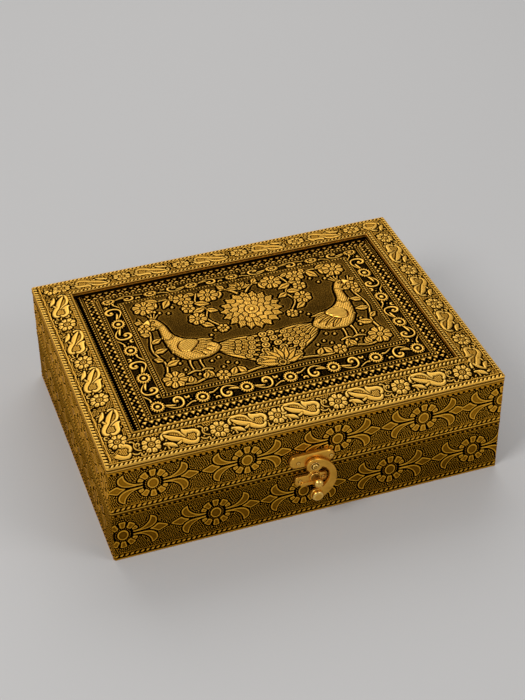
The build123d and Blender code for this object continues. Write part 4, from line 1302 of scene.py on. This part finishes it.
cast_piece("latch_plate_cast", "latch_plate", "lid")
cast_piece("latch_hook_cast", "latch_hook", "hook")
cast_piece("catch_plate_cast", "catch_plate", "base")
# Tones: painted shade where each piece meets what it stands on and in its grooves, painted highlights on its
# rounded crowns and rims.
turned_piece("finger_knob", [middle("hook_knob")], [
    (3.0, 5.75, 0.1), (3.3, 5.95, 0.2), (3.55, 6.3, 0.6), (3.6, 6.9, 0.75), (3.45, 7.5, 0.8),
    (3.1, 7.95, 1.0), (2.6, 8.2, 0.85), (2.0, 8.28, 0.65), (1.0, 8.3, 0.62), (0.0, 8.3, 0.62),
], "hook", "hook_knob")
turned_piece("hook_rivet", [middle("latch_rivet")], [
    (1.6, 3.2, 0.3), (1.6, 3.5, 0.3), (3.0, 3.52, 0.4), (1.6, 3.6, 0.3), (1.6, 6.0, 0.1),
    (2.9, 6.08, 0.2), (3.1, 6.25, 0.7), (3.05, 6.42, 1.0), (2.8, 6.5, 0.8), (2.5, 6.4, 0.3),
    (2.3, 6.3, 0.02), (2.1, 6.4, 0.1), (2.0, 6.75, 0.5), (1.85, 7.1, 0.9), (1.5, 7.36, 1.0),
    (1.1, 7.32, 0.5), (0.8, 7.18, 0.15), (0.5, 7.25, 0.5), (0.0, 7.32, 0.8),
], "lid", "latch_rivet")
turned_piece("ball_post", [middle("catch_post")], [
    (2.2, 1.6, 0.1), (2.3, 2.3, 0.1), (3.0, 2.4, 0.3), (3.3, 2.7, 0.7), (3.3, 3.1, 0.8),
    (3.0, 3.45, 0.6), (2.35, 3.75, 0.2), (2.15, 4.6, 0.5), (2.15, 5.8, 0.4), (2.25, 6.3, 0.25),
    (2.65, 7.0, 0.6), (3.0, 7.9, 0.75), (3.08, 8.8, 0.8), (2.85, 9.75, 0.85), (2.35, 10.6, 0.85),
    (1.6, 11.25, 0.8), (0.8, 11.6, 0.75), (0.0, 11.68, 0.75),
], "base", "catch_post")
for name, node, body, face in (
    ("plate_nails", "latch_tacks", "lid", 3.4), ("catch_nails", "catch_tacks", "base", 2.4),
):
    low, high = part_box(node)
    radius = 1.3
    places = [(low.x / MM + radius, low.z / MM + radius), (high.x / MM - radius, high.z / MM - radius)]
    # Nail heads: painted shade at the foot and a painted highlight round the shoulder.
    turned_piece(name, places, [
        (1.28, face - 0.42, 0.0), (1.25, face - 0.34, 0.05), (1.1, face - 0.2, 0.5), (0.85, face - 0.08, 0.9),
        (0.5, face - 0.06, 0.8), (0.2, face - 0.1, 0.4), (0.0, face - 0.14, 0.3),
    ], body, node, sides=24)


def screw_piece(name, body, z, up):
    """Slotted screw heads on the hinge leaves, a little proud of them, with painted shade in their shallow
    slots.
    """
    rings = ((0.0, 0.12), (0.25, 0.12), (0.5, 0.12), (0.8, 0.12), (1.1, 0.12), (1.4, 0.1), (1.6, 0.0))
    sides = 36
    slot_half, slot_floor = 0.26, 0.01
    verts, faces, shades = [], [], []
    for hinge in (-1, 1):
        for dx in (-7.6, 7.6):
            x, y, turn = hinge * HINGE_X + dx, HALF_Y - 4.7, 0.5 + hinge + dx
            faces += [(a, d, c, b) for a, b, c, d in tube_faces(len(verts), len(rings), sides)]
            for r, rise in rings:
                for i in range(sides):
                    a = 2 * math.pi * i / sides
                    in_slot = abs(r * math.sin(a)) < slot_half
                    height = slot_floor if in_slot else rise
                    place = (x + r * math.cos(a + turn), y + r * math.sin(a + turn), z + up * height)
                    verts.append([value * MM for value in place])
                    # The slots, cut only 0.11 mm deep, are painted black as shade.
                    shades.append(0.0 if in_slot else 0.8)
    mesh = bpy.data.meshes.new(name)
    mesh.from_pydata(verts, [], faces)
    toned(mesh, shades)
    add_piece(name, mesh, SCREW_BRASS, body, [])


screw_piece("base_hinge_screws", "base", RIM_TOP, 1)
screw_piece("lid_hinge_screws", "lid", LID_RIM, -1)


# Velvet and felt


def cloth_piece(name, front, back, material, body, node):
    """Closed piece of cloth from its front and back grids of points in millimetres."""
    rows, columns = front.shape[:2]
    points = np.concatenate([front.reshape(-1, 3), back.reshape(-1, 3)])
    count = rows * columns
    faces = []
    for j in range(rows - 1):
        for i in range(columns - 1):
            a = j * columns + i
            faces.append((a, a + 1, a + columns + 1, a + columns))
            faces.append((count + a, count + a + columns, count + a + columns + 1, count + a + 1))
    edge = list(range(columns))
    edge += [j * columns + columns - 1 for j in range(1, rows)]
    edge += [(rows - 1) * columns + i for i in range(columns - 2, -1, -1)]
    edge += [j * columns for j in range(rows - 2, 0, -1)]
    for a, b in zip(edge, edge[1:] + edge[:1]):
        faces.append((b, a, count + a, count + b))
    mesh = bpy.data.meshes.new(name)
    mesh.from_pydata((points * MM).tolist(), [], faces)
    smooth_shaded(mesh)
    return add_piece(name, mesh, material, body, [node])


def ripple(x, y, seed):
    """Slow waves of cloth that is glued down, from -1 to 1."""
    rng = np.random.default_rng(seed)
    total = np.zeros(np.broadcast(x, y).shape)
    for _ in range(7):
        angle, length, phase = rng.uniform(0, 2 * math.pi), rng.uniform(9, 34), rng.uniform(0, 6.3)
        total = total + np.sin((x * math.cos(angle) + y * math.sin(angle)) / length * 2 * math.pi + phase)
    return total / 7


def crown(x, y, low_x, high_x, low_y, high_y, edge):
    """Height 0 to 1 of a pad that falls off near the edges of its rectangle."""
    inside = np.minimum(np.minimum(x - low_x, high_x - x), np.minimum(y - low_y, high_y - y))
    return pillow(-inside, edge)


def wall_lining(side, body):
    """Padded velvet on the inside of one wall, rounded only at the rim."""
    name = f"{body}_{side}_velvet"
    node = f"{body}_{side}_lining"
    low, high = heights(node)
    half = SIDES[side][3] - INNER_FACE + LINING
    # The pad stays full at the floor or the ceiling, where its end is hidden in the next lining
    full, hidden = 9, 0.8
    if body == "base":
        pad_low, pad_high = low - full, high
        low -= hidden
    else:
        pad_low, pad_high = low, high + full
        high += hidden
    rounding = np.array([0.0, 0.1, 0.3, 0.6, 1.0])
    z = np.concatenate([low + rounding, steps(low + 1.8, high - 1.8, 1.2), high - rounding[::-1]])
    S, Z = np.meshgrid(steps(-half, half, 1.0), z)
    waves = 0.9 + 0.1 * ripple(S, Z, len(name) + SEEDS[side])
    thickness = LINING * (crown(S, Z, -half, half, pad_low, pad_high, 1.6) * waves)
    room = half - thickness
    front = placed(side, np.clip(S, -room, room), INNER_FACE - LINING + thickness, Z)
    back = placed(side, S, np.full(S.shape, INNER_FACE - LINING + 0.05), Z)
    return cloth_piece(name, front, back, VELVET, body, node)


SEEDS = {"front": 1, "right": 2, "back": 3, "left": 4}
for side in SIDES:
    for body in ("base", "lid"):
        wall_lining(side, body)


def flat_lining(name, node, body, height, back_height):
    """Padded velvet on a floor or ceiling, with its height as a function of the place."""
    low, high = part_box(node)
    X, Y = np.meshgrid(steps(low.x / MM, high.x / MM, 1.3), steps(low.y / MM, high.y / MM, 1.3))
    front = np.stack([X, Y, height(X, Y)], -1)
    back = np.stack([X, Y, np.full(X.shape, back_height)], -1)
    if front[0, 0, 2] < back_height:
        front, back = front[:, ::-1], back[:, ::-1]
    return cloth_piece(name, front, back, VELVET, body, node)


ROOM_X, ROOM_Y = HALF_X - INNER_FACE, HALF_Y - INNER_FACE


def floor_height(x, y):
    """Floor pads of the four cells."""
    pad = crown(np.abs(x), np.abs(y), 1.2, ROOM_X + 0.3, 1.2, ROOM_Y + 0.3, 5.0)
    return FLOOR_LOW + LINING * (0.45 + 0.47 * pad + 0.06 * ripple(x, y, 31) * pad)


def ceiling_height(x, y):
    """Quilted diamonds of the lid's lining."""
    a, b = (x + 1.4 * y) / 30, (x - 1.4 * y) / 30
    puff = np.sqrt(np.abs(np.sin(np.pi * a) * np.sin(np.pi * b)))
    edge = crown(x, y, -ROOM_X, ROOM_X, -ROOM_Y, ROOM_Y, 2.0)
    return CEILING_TOP - LINING * (0.12 + 0.83 * np.minimum(puff * 1.15, 1) * (0.3 + 0.7 * edge))


flat_lining("floor_velvet", "floor_lining", "base", floor_height, FLOOR_LOW + 0.02)
quilting = flat_lining("quilted_lid_velvet", "lid_top_lining", "lid", ceiling_height, CEILING_TOP - 0.02)


def divider_piece(name, runs, along_x, node):
    """Board wrapped in velvet with a round top, in one or more runs."""
    low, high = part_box(node)
    r = min(high.x - low.x, high.y - low.y) / MM / 2
    top, bottom = high.z / MM, FLOOR_LOW + LINING * 0.4
    upright_part = steps(bottom, top - r, 1.3)
    section = [(-r + 0.05, z) for z in upright_part]
    for a in np.linspace(0.2, math.pi - 0.2, 9):
        section.append((-r * math.cos(a) * 0.97, top - r + r * math.sin(a)))
    section += [(r - 0.05, z) for z in upright_part[::-1]]
    w, z = np.array(section).T
    rows = len(w)
    verts, faces = [], []
    for start, end in runs:
        first = len(verts)
        for place in steps(start, end, 1.3):
            if len(verts) > first:
                for c in range(len(verts), len(verts) + rows - 1):
                    faces.append((c - rows, c, c + 1, c + 1 - rows))
            nudged = np.clip(w * (1 + 0.03 * ripple(place, z, 77)), -r, r)
            for a, b in zip(nudged, z):
                verts.append((place * MM, a * MM, b * MM) if along_x else (-a * MM, place * MM, b * MM))
        faces.append(tuple(range(first, first + rows)))
        faces.append(tuple(range(len(verts) - 1, len(verts) - rows - 1, -1)))
    mesh = bpy.data.meshes.new(name)
    mesh.from_pydata(verts, [], faces)
    smooth_shaded(mesh)
    piece = add_piece(name, mesh, VELVET, "base", [node])


long_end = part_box("long_divider")[1].x / MM
cross_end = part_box("cross_divider")[1].y / MM
middle_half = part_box("long_divider")[1].y / MM
cross_runs = [(-cross_end, -middle_half), (middle_half, cross_end)]
divider_piece("long_divider_velvet", [(-long_end, long_end)], True, "long_divider")
divider_piece("cross_divider_velvet", cross_runs, False, "cross_divider")


felt_low, felt_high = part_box("base_felt")
felt_x = (felt_low.x / MM, felt_high.x / MM)
felt_y = (felt_low.y / MM, felt_high.y / MM)
X, Y = np.meshgrid(steps(*felt_x, 1.6), steps(*felt_y, 1.6))
sag = 0.06 * (1 + ripple(X, Y, 5)) * crown(X, Y, *felt_x, *felt_y, 6.0)
felt_front = np.stack([X, Y, sag], -1)[:, ::-1]
felt_back = np.stack([X, Y, np.full(X.shape, felt_high.z / MM)], -1)[:, ::-1]
felt = cloth_piece("felt_underside", felt_front, felt_back, FELT, "base", "base_felt")


# Solids that no piece replaces keep their CAD shape: the hinges in brass, the rest in fibreboard
for name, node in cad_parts.items():
    if not node.hide_render:
        node.data.materials.clear()
        node.data.materials.append(HINGE_BRASS if name.startswith("hinge") else FIBREBOARD)


def view_from_photo():
    """Camera at the photo's viewing angle, fitted to the box's corners in it."""
    azimuth, elevation, roll = (math.radians(angle) for angle in (-19.155, 37.446, -0.529))
    aim = Vector((0.02654, 0.07002, 0))
    distance = 1.10447
    level = math.cos(elevation)
    back = Vector((math.sin(azimuth) * level, -math.cos(azimuth) * level, math.sin(elevation)))
    right = (-back).cross(Vector((0, 0, 1))).normalized()
    up = right.cross(-back)
    turned_right = right * math.cos(roll) + up * math.sin(roll)
    turned_up = up * math.cos(roll) - right * math.sin(roll)
    camera = bpy.data.cameras.new("camera")
    camera.lens = 80.35
    camera.sensor_width = 36
    camera.clip_start = 0.05
    camera.clip_end = 50
    view = bpy.data.objects.new("camera", camera)
    bpy.context.scene.collection.objects.link(view)
    turn = Matrix((turned_right, turned_up, back)).transposed().to_4x4()
    view.matrix_world = Matrix.Translation(aim + back * distance) @ turn
    bpy.context.scene.camera = view


def softbox(name, place, aim, size, power):
    """Large soft lamp."""
    lamp = bpy.data.lights.new(name, "AREA")
    lamp.shape = "RECTANGLE"
    lamp.size, lamp.size_y = size
    lamp.energy = power
    box = bpy.data.objects.new(name, lamp)
    bpy.context.scene.collection.objects.link(box)
    direction = Vector(aim) - Vector(place)
    box.matrix_world = Matrix.Translation(place) @ direction.to_track_quat("-Z", "Y").to_matrix().to_4x4()


def studio():
    """Plain pale floor, soft lamps and a pale surround."""
    bpy.ops.mesh.primitive_plane_add(size=12, location=(0, 0, 0))
    floor = bpy.context.object
    floor.name = "floor"
    material, shader = new_material("floor", roughness=0.7)
    shader.inputs["Base Color"].default_value = (0.62, 0.61, 0.6, 1)
    floor.data.materials.append(material)
    softbox("back", (0.2, 1.0, 1.15), (0, 0, 0.05), (1.5, 1.1), 7.6)
    softbox("key", (-1.0, -0.5, 1.2), (0, 0, 0.03), (0.6, 0.6), 9)
    softbox("fill", (0.9, -0.9, 1.0), (0, 0, 0.03), (0.6, 0.6), 4)
    world = bpy.data.worlds.new("studio")
    world.use_nodes = True
    world.node_tree.nodes["Background"].inputs["Color"].default_value = (0.76, 0.76, 0.77, 1)
    world.node_tree.nodes["Background"].inputs["Strength"].default_value = 0.4
    bpy.context.scene.world = world
    bpy.context.scene.view_settings.view_transform = "Standard"


view_from_photo()
studio()
